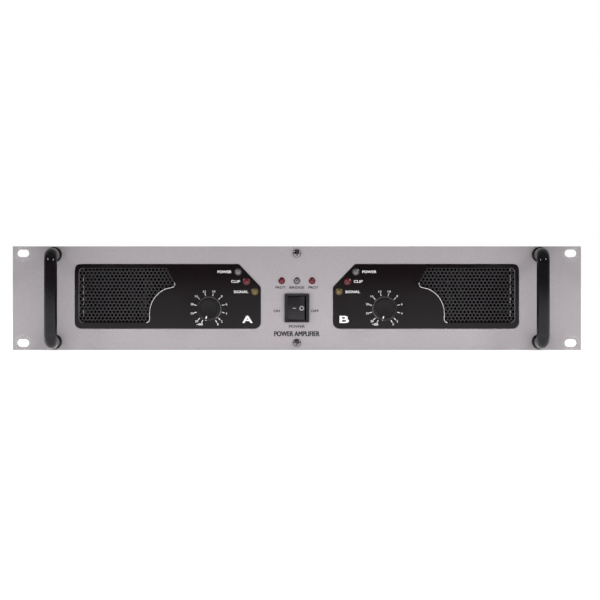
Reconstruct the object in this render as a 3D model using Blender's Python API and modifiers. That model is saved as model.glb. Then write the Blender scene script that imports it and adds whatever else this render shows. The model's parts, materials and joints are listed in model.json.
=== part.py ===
"""Two-channel rack power amplifier, two rack units high.

Metres, +Z up, the front faces -Y. The origin is under the middle of the object's box.
Places on the front are given from the middle of the front panel: across (+ to the right) and up.
"""

import math

import bmesh
import bpy
from mathutils import Matrix

GAP = 0.0003  # between pieces that touch, and around what passes through a hole
SEGMENTS = 4  # of a quarter circle in a flat outline

# Front panel
PANEL_WIDTH = 0.4826
PANEL_HEIGHT = 0.0881
PANEL_THICK = 0.0032
SLOT_FROM_SIDE = 0.00875  # from the panel's edges to a slot's middle
SLOT_FROM_TOP = 0.00595
SLOT_LENGTH = 0.0103
SLOT_HEIGHT = 0.0065
EAR_RELIEF = 0.0002  # the ears are milled this much thinner from behind

# Black control insets, which sit in pockets of the panel
INSET_OUTER = 0.1884
INSET_INNER = 0.0308
INSET_TOP = 0.02885
INSET_BOTTOM = 0.0258
INSET_CORNER = 0.0055
CUT_CORNER_ACROSS = 0.0493
CUT_CORNER_UP = 0.00945
POCKET_DEPTH = 0.0015
INSET_PROUD = 0.0005

# Grille openings in the insets, and the sheet behind them
GRILLE_OUTER = 0.1850
GRILLE_TOP = 0.0256
GRILLE_BOTTOM = 0.0207
GRILLE_TOP_END = 0.1100
GRILLE_TIP = (0.1024, 0.0101)
SWEEP_CENTRE = (0.1028, -0.0127)
SWEEP_RADIUS = 0.0224
SWEEP_END = 113.0  # degrees, where the sweep leaves for the tip
GRILLE_CORNER = 0.0035
GRILLE_TIP_CORNER = 0.0028
GRILLE_LAP = 0.0030
GRILLE_THICK = 0.0008

# Level controls
DIAL_ACROSS = 0.0745
DIAL_UP = -0.0090
KNOB_RADIUS = 0.0099
KNOB_HEIGHT = 0.0180
KNOB_EDGE = 0.0022
KNOB_LIFT = 0.0006
KNOB_BORE_DEPTH = 0.0110
SHAFT_RADIUS = 0.0030
BUSHING_RADIUS = 0.0047
POT_RADIUS = 0.0082
POT_DEPTH = 0.0085

# Indicator lamps: name, across, up
LED_RADIUS = 0.0025
LED_PROUD = 0.0016
LED_SPACER_RADIUS = 0.0022
LED_PLACES = (
    ("power_led", 0.0500, 0.0224),
    ("clip_led", 0.0429, 0.0142),
    ("signal_led", 0.0358, 0.0056),
    ("prot_led", 0.0129, 0.0148),
)
BRIDGE_LED_UP = 0.0148

# Power switch
SWITCH_UP = -0.0085
BEZEL_WIDTH = 0.0210
BEZEL_HEIGHT = 0.0242
BEZEL_PROUD = 0.0020
BEZEL_CORNER = 0.0010
SWITCH_WALL = 0.00115
SWITCH_DEPTH = 0.0220
WINDOW_WIDTH = 0.0157
WINDOW_HEIGHT = 0.0209
WINDOW_DEPTH = 0.0100
ROCKER_HALF_WIDTH = 0.0069
ROCKER_BACK_HALF_WIDTH = 0.0050
ROCKER_END = 0.0046  # from the pivot to a raised end
ROCKER_MIDDLE = 0.0032
ROCKER_BACK = 0.0032
ROCKER_PIVOT_DEPTH = 0.0049
ROCK_ANGLE = 8.0  # degrees each way

# Rack handles
HANDLE_FROM_CASE_SIDE = 0.0099
HANDLE_REACH = 0.0385
HANDLE_RADIUS = 0.0056
HANDLE_BEND = 0.0078
FERRULE_RADIUS = 0.0066
FERRULE_HEIGHT = 0.0030
HANDLE_SCREW_RADIUS = 0.0025
HANDLE_SCREW_GRIP = 0.0090
HANDLE_SCREW_HEAD_RADIUS = 0.0043
HANDLE_SCREW_HEAD = 0.0034

# Screws at the middle of the panel
PANEL_SCREW_FROM_TOP = 0.00605
PANEL_SCREW_RADIUS = 0.0018
PANEL_SCREW_HEAD_RADIUS = 0.00355
PANEL_SCREW_HEAD = 0.0022
PANEL_SCREW_LENGTH = 0.0080
CROSS_LENGTH = 0.0040
CROSS_WIDTH = 0.0009
CROSS_DEPTH = 0.0011

# Case
CASE_WIDTH = 0.4318
CASE_DEPTH = 0.3810
CASE_BELOW_TOP = 0.0011  # the case is this much lower than the panel
SHEET = 0.0015
COVER_FLANGE = 0.0120
CONTROL_WINDOW_HALF = 0.0880
VENT_COUNT = 9
VENT_PITCH = 0.0080
VENT_WIDTH = 0.0032
VENT_HEIGHT = 0.0420
VENT_START = 0.0450  # from the case's front to the first slot

# Circuit boards
BOARD = 0.0016
CONTROL_BOARD_HALF = 0.0850
CONTROL_BOARD_TOP = 0.0270
CONTROL_BOARD_BOTTOM = 0.0220
BOARD_WINDOW_CLEARANCE = 0.0010

# Heatsinks, one behind each grille, with the output transistors on their inner faces
SINK_SIDE_ROOM = 0.0064
SINK_WIDTH = 0.0700
SINK_BASE = 0.0060
SINK_START = 0.0240
SINK_REAR_ROOM = 0.0770
SINK_HEAD_ROOM = 0.0080
FIN_COUNT = 8
FIN_THICK = 0.0020
DEVICE_COUNT = 6
DEVICE_SIZE = (0.0050, 0.0160, 0.0210)
OUTPUT_BOARD_SETBACK = 0.0250  # from each end of the heatsink
OUTPUT_BOARD_HEIGHT = 0.0580
DEVICE_UP = 0.0360

# Toroidal transformer
TORUS_RADIUS = 0.0680
TORUS_HOLE = 0.0200
TORUS_HEIGHT = 0.0600
TORUS_ROUND = 0.0120
TORUS_FACETS = 3  # of each rounded edge
TORUS_FRONT_ROOM = 0.0400
CLAMP_RADIUS = 0.0380
CLAMP_THICK = 0.0022
CLAMP_BOLT_RADIUS = 0.0040
CLAMP_HEAD_RADIUS = 0.0075
CLAMP_HEAD = 0.0050

# Power supply board and what stands on it
SUPPLY_BOARD_WIDTH = 0.1700
SUPPLY_BOARD_LENGTH = 0.1000
SUPPLY_BOARD_ROOM = 0.0120  # between the transformer and the board
STANDOFF_HEIGHT = 0.0080
STANDOFF_RADIUS = 0.0035
STANDOFF_INSET = 0.0080
CAP_RADIUS = 0.0175
CAP_HEIGHT = 0.0500
CAP_PITCH = 0.0400
RECTIFIER_SIDE = 0.0285
RECTIFIER_HEIGHT = 0.0110
RECTIFIER_ACROSS = 0.1000
RECTIFIER_FROM_FRONT = 0.0500

# Fan
FAN_ROOM = 0.0020  # above and below the fan, inside the case
FAN_DEPTH = 0.0250
FAN_WALL = 0.0018
FAN_CORNER = 0.0040
FAN_HOLE_INSET = 0.00425
FAN_HOLE_RADIUS = 0.0022
MOTOR_RADIUS = 0.0165
MOTOR_PLATE = 0.0030
STRUT_WIDTH = 0.0050
BLADE_TIP_GAP = 0.0015
ROTOR_DEPTH = 0.0180
ROTOR_SETBACK = 0.0020
BLADE_COUNT = 7
BLADE_CHORD = 0.0160
BLADE_THICK = 0.0016
BLADE_PITCH = 35.0  # degrees
GUARD_THICK = 0.0020
GUARD_BAR = 0.0020
GUARD_GAP = 0.0070
GUARD_RINGS = 3
GUARD_EAR = 0.0042

# Rear connectors: across from the middle, seen from the front
REAR_UP = 0.0000
INLET_ACROSS = 0.1750
INLET_FLANGE = (0.0480, 0.0250)
INLET_FLANGE_THICK = 0.0025
INLET_BODY = (0.0280, 0.0206)
INLET_BODY_DEPTH = 0.0240
INLET_CAVITY = (0.0242, 0.0168)
INLET_CAVITY_DEPTH = 0.0170
INLET_PIN = (0.0020, 0.0040)
INLET_PIN_LENGTH = 0.0120
INLET_PIN_PITCH = 0.0070
BREAKER_ACROSS = 0.1340
BREAKER_NECK_RADIUS = 0.0055
BREAKER_NUT_RADIUS = 0.0080
BREAKER_NUT = 0.0025
BREAKER_NECK = 0.0050
BREAKER_BODY_RADIUS = 0.0078
BREAKER_BODY_DEPTH = 0.0260
BUTTON_RADIUS = 0.0034
BUTTON_PROUD = 0.0045
BUTTON_BURIED = 0.0080
BUTTON_TRAVEL = 0.0025
SPEAKER_ACROSS = (0.0680, 0.1040)
SOCKET_FLANGE = (0.0260, 0.0310)
SOCKET_FLANGE_THICK = 0.0020
SOCKET_CORNER = 0.0030
SPEAKER_BODY_RADIUS = 0.0122
SPEAKER_DEPTH = 0.0260
SPEAKER_CAVITY_RADIUS = 0.0112
SPEAKER_CORE_RADIUS = 0.0058
SPEAKER_CAVITY_DEPTH = 0.0130
INPUT_ACROSS = (-0.1740, -0.1360)
INPUT_BODY_RADIUS = 0.0120
INPUT_DEPTH = 0.0260
INPUT_GROOVE_OUTER = 0.0108
INPUT_GROOVE_INNER = 0.0088
INPUT_GROOVE_DEPTH = 0.0120
INPUT_BORE_RADIUS = 0.0033
INPUT_BORE_DEPTH = 0.0220
INPUT_BOARD_WIDTH = 0.1300
INPUT_BOARD_HEIGHT = 0.0560
INPUT_BOARD_ACROSS = -0.1350
MODE_ACROSS = -0.0900
MODE_BODY = (0.0200, 0.0100)
MODE_WINDOW = (0.0100, 0.0050)
MODE_WINDOW_DEPTH = 0.0040
SLIDER_WIDTH = 0.0050
SLIDER_HEIGHT = 0.0038
SLIDER_PROUD = 0.0030
SLIDER_TRAVEL = 0.0040
SLIDER_BURIED = 0.0030

# Sizes that follow from those above
CASE_HEIGHT = PANEL_HEIGHT - CASE_BELOW_TOP
SLOT_ACROSS = PANEL_WIDTH / 2 - SLOT_FROM_SIDE
SLOT_UP = PANEL_HEIGHT / 2 - SLOT_FROM_TOP
HANDLE_ACROSS = CASE_WIDTH / 2 - HANDLE_FROM_CASE_SIDE
HANDLE_FOOT_UP = CASE_HEIGHT - SHEET - GAP - HANDLE_SCREW_HEAD_RADIUS - PANEL_HEIGHT / 2
PANEL_SCREW_UP = PANEL_HEIGHT / 2 - PANEL_SCREW_FROM_TOP
SINK_OUTER = CASE_WIDTH / 2 - SHEET - SINK_SIDE_ROOM
SINK_INNER = SINK_OUTER - SINK_WIDTH
SINK_LENGTH = CASE_DEPTH - SINK_START - SINK_REAR_ROOM
SINK_HEIGHT = CASE_HEIGHT - 2 * SHEET - SINK_HEAD_ROOM
OUTPUT_BOARD_LENGTH = SINK_LENGTH - 2 * OUTPUT_BOARD_SETBACK
TORUS_FROM_FRONT = TORUS_FRONT_ROOM + TORUS_RADIUS
SUPPLY_BOARD_FROM_FRONT = TORUS_FROM_FRONT + TORUS_RADIUS + SUPPLY_BOARD_ROOM + SUPPLY_BOARD_LENGTH / 2
FAN_SIDE = CASE_HEIGHT - 2 * SHEET - 2 * FAN_ROOM
FAN_DUCT = FAN_SIDE / 2 - FAN_WALL
FAN_HOLE_SPACING = FAN_SIDE - 2 * FAN_HOLE_INSET
ROTOR_RADIUS = FAN_DUCT - BLADE_TIP_GAP
GUARD_RIM = FAN_SIDE / 2

# Stations along the depth, from the front of the handles to the end of the breaker's button
REAR_REACH = BREAKER_NECK + BUTTON_PROUD
TOTAL_DEPTH = HANDLE_REACH + PANEL_THICK + GAP + CASE_DEPTH + REAR_REACH
FACE_Y = HANDLE_REACH - TOTAL_DEPTH / 2
PANEL_BACK_Y = FACE_Y + PANEL_THICK
CASE_FRONT_Y = PANEL_BACK_Y + GAP
CASE_BACK_Y = CASE_FRONT_Y + CASE_DEPTH
REAR_INSIDE_Y = CASE_BACK_Y - SHEET
BOARD_FRONT_Y = PANEL_BACK_Y + GAP + POT_DEPTH + GAP
MIDDLE_Z = PANEL_HEIGHT / 2
REAR_Z = CASE_HEIGHT / 2 + REAR_UP
FLOOR_Z = SHEET + GAP

# Colour, roughness and metallic of each finish
FINISHES = {
    "silver paint": ((0.40, 0.375, 0.385), 0.45, 0.3),
    "black gloss": ((0.012, 0.012, 0.013), 0.2, 0.0),
    "black moulding": ((0.02, 0.02, 0.021), 0.45, 0.0),
    "grille steel": ((0.035, 0.035, 0.037), 0.5, 0.4),
    "black steel": ((0.03, 0.03, 0.032), 0.5, 0.3),
    "plated steel": ((0.62, 0.62, 0.63), 0.3, 1.0),
    "bare aluminium": ((0.55, 0.56, 0.57), 0.4, 0.9),
    "black anodising": ((0.018, 0.018, 0.019), 0.45, 0.6),
    "board green": ((0.02, 0.12, 0.05), 0.5, 0.0),
    "winding wrap": ((0.55, 0.45, 0.12), 0.5, 0.0),
    "capacitor sleeve": ((0.02, 0.03, 0.08), 0.35, 0.0),
    "clear lens": ((0.55, 0.55, 0.52), 0.15, 0.0),
    "red lens": ((0.30, 0.01, 0.02), 0.2, 0.0),
    "yellow lens": ((0.32, 0.26, 0.03), 0.2, 0.0),
}

parts = None
cutters = None


# ---- tools ----------------------------------------------------------------------------------


def clear_scene():
    for obj in list(bpy.data.objects):
        bpy.data.objects.remove(obj, do_unlink=True)


def new_collection(name):
    collection = bpy.data.collections.new(name)
    bpy.context.scene.collection.children.link(collection)
    return collection


def finish(obj, name):
    colour, roughness, metallic = FINISHES[name]
    material = bpy.data.materials.new(obj.name)
    material.use_nodes = True
    shader = material.node_tree.nodes["Principled BSDF"]
    shader.inputs["Base Color"].default_value = (*colour, 1.0)
    shader.inputs["Roughness"].default_value = roughness
    shader.inputs["Metallic"].default_value = metallic
    obj.data.materials.append(material)
    return obj


def helper(obj):
    """Marks an object that only cuts or joins another."""
    parts.objects.unlink(obj)
    cutters.objects.link(obj)
    obj.hide_render = True
    obj.display_type = "WIRE"
    return obj


def combine(obj, other, operation):
    helper(other)
    modifier = obj.modifiers.new(f"{operation.lower()} {other.name}", "BOOLEAN")
    modifier.operation = operation
    modifier.object = other
    return obj


def cut(obj, *others):
    for other in others:
        combine(obj, other, "DIFFERENCE")
    return obj


def join(obj, *others):
    for other in others:
        combine(obj, other, "UNION")
    return obj


def mesh_object(name, bm, place=(0, 0, 0)):
    mesh = bpy.data.meshes.new(name)
    bm.to_mesh(mesh)
    bm.free()
    obj = bpy.data.objects.new(name, mesh)
    obj.location = place
    parts.objects.link(obj)
    return obj


def block(name, low, high):
    """A box between two corners."""
    middle = [(a + b) / 2 for a, b in zip(low, high)]
    size = [b - a for a, b in zip(low, high)]
    bm = bmesh.new()
    bmesh.ops.create_cube(bm, size=1, matrix=Matrix.Diagonal((*size, 1)))
    return mesh_object(name, bm, middle)


def turned(name, profile, place, aim, steps):
    """A profile of (radius, height) points, top to bottom, turned round the axis that aim names."""
    mesh = bpy.data.meshes.new(name)
    edges = [(i, i + 1) for i in range(len(profile) - 1)]
    mesh.from_pydata([(radius, 0, height) for radius, height in profile], edges, [])
    obj = bpy.data.objects.new(name, mesh)
    obj.location = place
    obj.rotation_euler.x = {"up": 0, "front": math.pi / 2, "rear": -math.pi / 2}[aim]
    parts.objects.link(obj)
    screw = obj.modifiers.new("turn", "SCREW")
    screw.steps = screw.render_steps = steps
    screw.use_merge_vertices = True
    screw.merge_threshold = 1e-5
    return obj


def curve_object(name, splines, extrude=0.0, bevel=0.0, bevel_resolution=0):
    """Poly splines, each (points, closed); flat ones are filled and extruded, others made a bar."""
    curve = bpy.data.curves.new(name, "CURVE")
    curve.dimensions = "2D" if extrude else "3D"
    curve.fill_mode = "BOTH" if extrude else "FULL"
    curve.extrude = extrude
    curve.bevel_depth = bevel
    curve.bevel_resolution = bevel_resolution
    curve.use_fill_caps = not extrude
    for points, closed in splines:
        spline = curve.splines.new("POLY")
        spline.points.add(len(points) - 1)
        for point, place in zip(spline.points, points):
            point.co = (*place, *[0.0] * (3 - len(place)), 1.0)
        spline.use_cyclic_u = closed
    obj = bpy.data.objects.new(name, curve)
    parts.objects.link(obj)
    return obj


def plate(name, outline, holes, front_y, thickness):
    """A flat outline in across and height, standing with its front face at front_y."""
    loops = [(points, True) for points in (outline, *holes)]
    obj = curve_object(name, loops, extrude=thickness / 2)
    obj.rotation_euler.x = math.pi / 2
    obj.location.y = front_y + thickness / 2
    return meshed(obj)


def slab(name, outline, holes, bottom_z, thickness):
    """A flat outline seen from above, lying with its underside at bottom_z."""
    loops = [(points, True) for points in (outline, *holes)]
    obj = curve_object(name, loops, extrude=thickness / 2)
    obj.location.z = bottom_z + thickness / 2
    return meshed(obj)


def meshed(obj):
    """The curve as a mesh object with its caps joined on, so that Booleans take it."""
    bpy.context.view_layer.update()
    graph = bpy.context.evaluated_depsgraph_get()
    mesh = bpy.data.meshes.new_from_object(obj.evaluated_get(graph))
    bm = bmesh.new()
    bm.from_mesh(mesh)
    bmesh.ops.remove_doubles(bm, verts=bm.verts, dist=1e-6)
    bmesh.ops.recalc_face_normals(bm, faces=bm.faces)
    bm.to_mesh(mesh)
    bm.free()
    name, matrix = obj.name, obj.matrix_world.copy()
    bpy.data.objects.remove(obj, do_unlink=True)
    new = bpy.data.objects.new(name, mesh)
    new.matrix_world = matrix
    parts.objects.link(new)
    return new


def smooth(obj, degrees=35):
    if obj.type == "MESH" and not any(m.type == "SCREW" for m in obj.modifiers):
        obj.data.shade_smooth()
        obj.data.set_sharp_from_angle(angle=math.radians(degrees))
    return obj


# ---- outlines -------------------------------------------------------------------------------


def arc(centre, radius, start, end, count):
    """count + 1 points from start to end, in degrees."""
    angles = [math.radians(start + (end - start) * i / count) for i in range(count + 1)]
    return [(centre[0] + radius * math.cos(a), centre[1] + radius * math.sin(a)) for a in angles]


def circle(centre, radius, count=16):
    return arc(centre, radius, 0, 360, count)[:-1]


def obround(centre, length, height, upright=False):
    """A slot with round ends."""
    radius, half = height / 2, (length - height) / 2
    turn = 90 if upright else 0
    dx, dy = (0, half) if upright else (half, 0)
    right = arc((centre[0] + dx, centre[1] + dy), radius, turn - 90, turn + 90, 2 * SEGMENTS)
    left = arc((centre[0] - dx, centre[1] - dy), radius, turn + 90, turn + 270, 2 * SEGMENTS)
    return right + left


def rectangle(centre, width, height):
    x, y = centre
    dx, dy = width / 2, height / 2
    return [(x - dx, y - dy), (x + dx, y - dy), (x + dx, y + dy), (x - dx, y + dy)]


def rounded(corners):
    """A closed outline of (across, up, radius) corners, in order, each with its fillet."""
    outline = []
    for i, (x, y, radius) in enumerate(corners):
        if not radius:
            outline.append((x, y))
            continue
        x0, y0, _ = corners[i - 1]
        x1, y1, _ = corners[(i + 1) % len(corners)]
        back, ahead = math.atan2(y0 - y, x0 - x), math.atan2(y1 - y, x1 - x)
        opening = (ahead - back + math.pi) % (2 * math.pi) - math.pi
        middle = back + opening / 2
        away = radius / math.sin(abs(opening) / 2)
        centre = (x + away * math.cos(middle), y + away * math.sin(middle))
        half = (math.pi - abs(opening)) / 2 * math.copysign(1, opening)
        start = middle + math.pi + half
        count = max(2, round(abs(half) * 2 / (math.pi / 2) * SEGMENTS))
        outline += arc(centre, radius, math.degrees(start), math.degrees(start - 2 * half), count)
    return outline


def rounded_rectangle(centre, width, height, radius):
    return rounded([(x, y, radius) for x, y in rectangle(centre, width, height)])


def on_side(outline, side):
    return [(side * x, y) for x, y in outline]


def on_panel(outline):
    """Raises an outline that is given from the panel's middle."""
    return [(x, y + MIDDLE_Z) for x, y in outline]


def inset_outline(grow):
    return rounded([
        (INSET_OUTER + grow, INSET_TOP + grow, INSET_CORNER),
        (INSET_OUTER + grow, -INSET_BOTTOM - grow, INSET_CORNER),
        (INSET_INNER - grow, -INSET_BOTTOM - grow, INSET_CORNER),
        (INSET_INNER - grow, CUT_CORNER_UP + grow / 2, INSET_CORNER / 2),
        (CUT_CORNER_ACROSS - grow / 2, INSET_TOP + grow, INSET_CORNER / 2),
    ])


def grille_outline(grow):
    """The opening's outline; grow widens it to the sheet behind, or to the window round the sheet."""
    sweep_radius = SWEEP_RADIUS - grow
    sweep = [(x, y, 0) for x, y in arc(SWEEP_CENTRE, sweep_radius, SWEEP_END, 180, 2 * SEGMENTS)]
    edge_across = SWEEP_CENTRE[0] + sweep_radius
    mirrored = [(2 * SWEEP_CENTRE[0] - x, y, r) for x, y, r in sweep]
    return rounded([
        (GRILLE_OUTER + grow, GRILLE_TOP + grow, GRILLE_CORNER),
        (GRILLE_TOP_END - grow / 2, GRILLE_TOP + grow, GRILLE_TIP_CORNER),
        (GRILLE_TIP[0] - grow, GRILLE_TIP[1] - grow / 2, GRILLE_TIP_CORNER),
        *mirrored,
        (edge_across, -GRILLE_BOTTOM - grow, GRILLE_TIP_CORNER),
        (GRILLE_OUTER + grow, -GRILLE_BOTTOM - grow, GRILLE_CORNER),
    ])


def led_places():
    """(name, across, up) of all nine lamps."""
    pairs = [(f"{name}_{ch}", side * x, y) for name, x, y in LED_PLACES for ch, side in CHANNELS]
    return pairs + [("bridge_led", 0.0, BRIDGE_LED_UP)]


CHANNELS = (("a", -1), ("b", 1))
SIDES = (("left", -1), ("right", 1))


# ---- front ----------------------------------------------------------------------------------


def rack_slots():
    return [
        obround((side * SLOT_ACROSS, level * SLOT_UP), SLOT_LENGTH, SLOT_HEIGHT)
        for side in (-1, 1)
        for level in (-1, 1)
    ]


def handle_feet():
    return [
        (side * HANDLE_ACROSS, level * HANDLE_FOOT_UP)
        for side in (-1, 1)
        for level in (-1, 1)
    ]


def front_panel():
    holes = rack_slots()
    holes += [circle(foot, HANDLE_SCREW_RADIUS + GAP, 12) for foot in handle_feet()]
    holes += [circle((0, y), PANEL_SCREW_RADIUS + GAP, 12) for y in (PANEL_SCREW_UP, -PANEL_SCREW_UP)]
    holes += [circle((x, y), LED_RADIUS + GAP, 12) for _, x, y in led_places()]
    holes += [rectangle((0, SWITCH_UP), switch_width() + 2 * GAP, switch_height() + 2 * GAP)]
    for _, side in SIDES:
        holes.append(circle((side * DIAL_ACROSS, DIAL_UP), BUSHING_RADIUS + GAP, 16))
        holes.append(on_side(grille_outline(GRILLE_LAP + GAP), side))
    outline = rectangle((0, 0), PANEL_WIDTH, PANEL_HEIGHT)
    panel = plate("front_panel", on_panel(outline), map(on_panel, holes), FACE_Y, PANEL_THICK)
    for name, side in SIDES:
        pocket = on_panel(on_side(inset_outline(GAP), side))
        depth = 2 * POCKET_DEPTH
        cut(panel, plate(f"pocket_{name}", pocket, [], FACE_Y - POCKET_DEPTH, depth))
        inner, outer = CASE_WIDTH / 2 + GAP, PANEL_WIDTH / 2 + GAP
        ear = on_panel(rectangle((side * (inner + outer) / 2, 0), outer - inner, PANEL_HEIGHT + 2 * GAP))
        cut(panel, plate(f"ear_back_{name}", ear, [], PANEL_BACK_Y - EAR_RELIEF, 2 * EAR_RELIEF))
    return finish(panel, "silver paint")


def control_inset(name, side):
    holes = [grille_outline(0), circle((DIAL_ACROSS, DIAL_UP), BUSHING_RADIUS + GAP, 16)]
    holes += [circle((x, y), LED_RADIUS + GAP, 12) for _, x, y in LED_PLACES if x > INSET_INNER]
    thickness = POCKET_DEPTH + INSET_PROUD - GAP
    outline = on_panel(on_side(inset_outline(0), side))
    holes = [on_panel(on_side(hole, side)) for hole in holes]
    obj = plate(f"inset_{name}", outline, holes, FACE_Y - INSET_PROUD, thickness)
    return finish(smooth(obj), "black gloss")


def grille(name, side):
    """The steel sheet behind the opening, solid here."""
    outline = on_panel(on_side(grille_outline(GRILLE_LAP), side))
    obj = plate(f"grille_{name}", outline, [], FACE_Y + POCKET_DEPTH + GAP, GRILLE_THICK)
    return finish(smooth(obj), "grille steel")


def handle_path():
    """From inside the lower ferrule out, up and back, as (depth, height) points."""
    half = HANDLE_FOOT_UP
    bar_y = FACE_Y - HANDLE_REACH + HANDLE_RADIUS
    foot_y = FACE_Y - GAP - FERRULE_HEIGHT / 2
    bend = HANDLE_BEND
    lower = arc((bar_y + bend, -half + bend), bend, 270, 180, 5)
    upper = arc((bar_y + bend, half - bend), bend, 180, 90, 5)
    return [(foot_y, -half), *lower, *upper, (foot_y, half)]


def handle_shape():
    """Bar, ferrules and tapped holes of one handle, in the middle of the panel."""
    path = [(0, y, z + MIDDLE_Z) for y, z in handle_path()]
    bar = curve_object("handle", [(path, False)], bevel=HANDLE_RADIUS, bevel_resolution=4)
    bar = meshed(bar)
    for level, up in (("bottom", -1), ("top", 1)):
        foot = (0, FACE_Y - GAP, MIDDLE_Z + up * HANDLE_FOOT_UP)
        ferrule = [
            (0, FERRULE_HEIGHT),
            (FERRULE_RADIUS - FERRULE_HEIGHT / 4, FERRULE_HEIGHT),
            (FERRULE_RADIUS, FERRULE_HEIGHT * 3 / 4),
            (FERRULE_RADIUS, 0),
            (0, 0),
        ]
        join(bar, turned(f"ferrule_{level}", ferrule, foot, "front", 20))
        reach, radius = HANDLE_SCREW_GRIP + GAP, HANDLE_SCREW_RADIUS + GAP
        bore = [(0, reach), (radius, reach), (radius, -reach), (0, -reach)]
        cut(bar, turned(f"tapped_hole_{level}", bore, foot, "front", 12))
    return smooth(meshed(bar))


def handles():
    """Two handles on one mesh."""
    shape = handle_shape()
    for name, side in SIDES:
        obj = bpy.data.objects.new(f"handle_{name}", shape.data.copy())
        obj.matrix_world = Matrix.Translation((side * HANDLE_ACROSS, 0, 0)) @ shape.matrix_world
        parts.objects.link(obj)
        finish(obj, "black moulding")
    bpy.data.objects.remove(shape, do_unlink=True)


def handle_screw(number, place):
    """Comes from inside the case, through the case and the panel, into the handle's foot."""
    head_y = CASE_FRONT_Y + SHEET + GAP
    shank = head_y - FACE_Y + HANDLE_SCREW_GRIP - GAP
    profile = [
        (0, shank),
        (HANDLE_SCREW_RADIUS, shank),
        (HANDLE_SCREW_RADIUS, 0),
        (HANDLE_SCREW_HEAD_RADIUS, 0),
        (HANDLE_SCREW_HEAD_RADIUS, -HANDLE_SCREW_HEAD / 2),
        (HANDLE_SCREW_HEAD_RADIUS * 0.6, -HANDLE_SCREW_HEAD),
        (0, -HANDLE_SCREW_HEAD),
    ]
    spot = (place[0], head_y, place[1] + MIDDLE_Z)
    return finish(turned(f"handle_screw_{number}", profile, spot, "front", 12), "plated steel")


def panel_screw(name, up):
    """Pan head with a cross recess; the shank passes through the panel and the case's front."""
    head, radius, shank = PANEL_SCREW_HEAD, PANEL_SCREW_HEAD_RADIUS, PANEL_SCREW_RADIUS
    profile = [
        (0, head),
        (radius * 0.55, head * 0.93),
        (radius * 0.86, head * 0.66),
        (radius, head * 0.25),
        (radius, 0),
        (shank, 0),
        (shank, -PANEL_SCREW_LENGTH),
        (0, -PANEL_SCREW_LENGTH),
    ]
    face_y, z = FACE_Y - GAP, MIDDLE_Z + up * PANEL_SCREW_UP
    screw = turned(f"panel_screw_{name}", profile, (0, face_y, z), "front", 16)
    top, bottom = face_y - 2 * head, face_y - head + CROSS_DEPTH
    for k, (dx, dz) in enumerate(((CROSS_LENGTH, CROSS_WIDTH), (CROSS_WIDTH, CROSS_LENGTH))):
        low, high = (-dx / 2, top, z - dz / 2), (dx / 2, bottom, z + dz / 2)
        cut(screw, block(f"cross_{name}_{k}", low, high))
    return finish(screw, "plated steel")


# ---- controls -------------------------------------------------------------------------------


def knob_back_y():
    return FACE_Y - INSET_PROUD - KNOB_LIFT


def dial_place(side, y):
    return (side * DIAL_ACROSS, y, MIDDLE_Z + DIAL_UP)


def level_knob(channel, side):
    bore = SHAFT_RADIUS + GAP
    edge = [
        (KNOB_RADIUS - KNOB_EDGE + x, KNOB_HEIGHT - KNOB_EDGE + y)
        for x, y in arc((0, 0), KNOB_EDGE, 90, 0, SEGMENTS)
    ]
    profile = [
        (0, KNOB_HEIGHT),
        *edge,
        (KNOB_RADIUS, 0),
        (bore, 0),
        (bore, KNOB_BORE_DEPTH),
        (0, KNOB_BORE_DEPTH),
    ]
    place = dial_place(side, knob_back_y())
    return finish(turned(f"level_knob_{channel}", profile, place, "front", 32), "black moulding")


def level_shaft(channel, side):
    """From inside the control's body to just short of the knob's blind end."""
    start_y = BOARD_FRONT_Y - GAP - POT_DEPTH / 2
    length = start_y - knob_back_y() + KNOB_BORE_DEPTH - GAP
    profile = [(0, length), (SHAFT_RADIUS, length), (SHAFT_RADIUS, 0), (0, 0)]
    place = dial_place(side, start_y)
    return finish(turned(f"level_shaft_{channel}", profile, place, "front", 12), "bare aluminium")


def level_pot(channel, side):
    bore = SHAFT_RADIUS + GAP
    top = POT_DEPTH + GAP + PANEL_THICK - POCKET_DEPTH
    floor = POT_DEPTH / 2 - GAP
    profile = [
        (bore, top),
        (BUSHING_RADIUS, top),
        (BUSHING_RADIUS, POT_DEPTH),
        (POT_RADIUS, POT_DEPTH),
        (POT_RADIUS, 0),
        (0, 0),
        (0, floor),
    ]
    profile = [(0, floor), (bore, floor), *profile[:-1]]
    place = dial_place(side, BOARD_FRONT_Y - GAP)
    pot = turned(f"level_pot_{channel}", profile, place, "front", 20)
    return finish(pot, "plated steel")


def led(name, across, up):
    """A lens with its spacer, which stands on the control board."""
    surface = FACE_Y - (INSET_PROUD if abs(across) > INSET_INNER else 0)
    back_y = BOARD_FRONT_Y - GAP
    length = back_y - surface + LED_PROUD
    neck = back_y - FACE_Y - PANEL_THICK
    dome = [(x, length - LED_RADIUS + y) for x, y in arc((0, 0), LED_RADIUS, 90, 0, SEGMENTS)][1:]
    profile = [
        (0, length),
        *dome,
        (LED_RADIUS, neck),
        (LED_SPACER_RADIUS, neck),
        (LED_SPACER_RADIUS, 0),
        (0, 0),
    ]
    colour = "clear lens"
    if name.startswith(("clip", "prot")):
        colour = "red lens"
    if name.startswith("signal"):
        colour = "yellow lens"
    lamp = turned(name, profile, (across, back_y, MIDDLE_Z + up), "front", 12)
    return finish(lamp, colour)


def control_board():
    outline = rounded_rectangle(
        (0, (CONTROL_BOARD_TOP - CONTROL_BOARD_BOTTOM) / 2),
        2 * CONTROL_BOARD_HALF,
        CONTROL_BOARD_TOP + CONTROL_BOARD_BOTTOM,
        2 * BOARD,
    )
    around = 2 * BOARD_WINDOW_CLEARANCE
    window = rectangle((0, SWITCH_UP), switch_width() + around, switch_height() + around)
    board = plate("control_board", on_panel(outline), [on_panel(window)], BOARD_FRONT_Y, BOARD)
    return finish(board, "board green")


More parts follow.
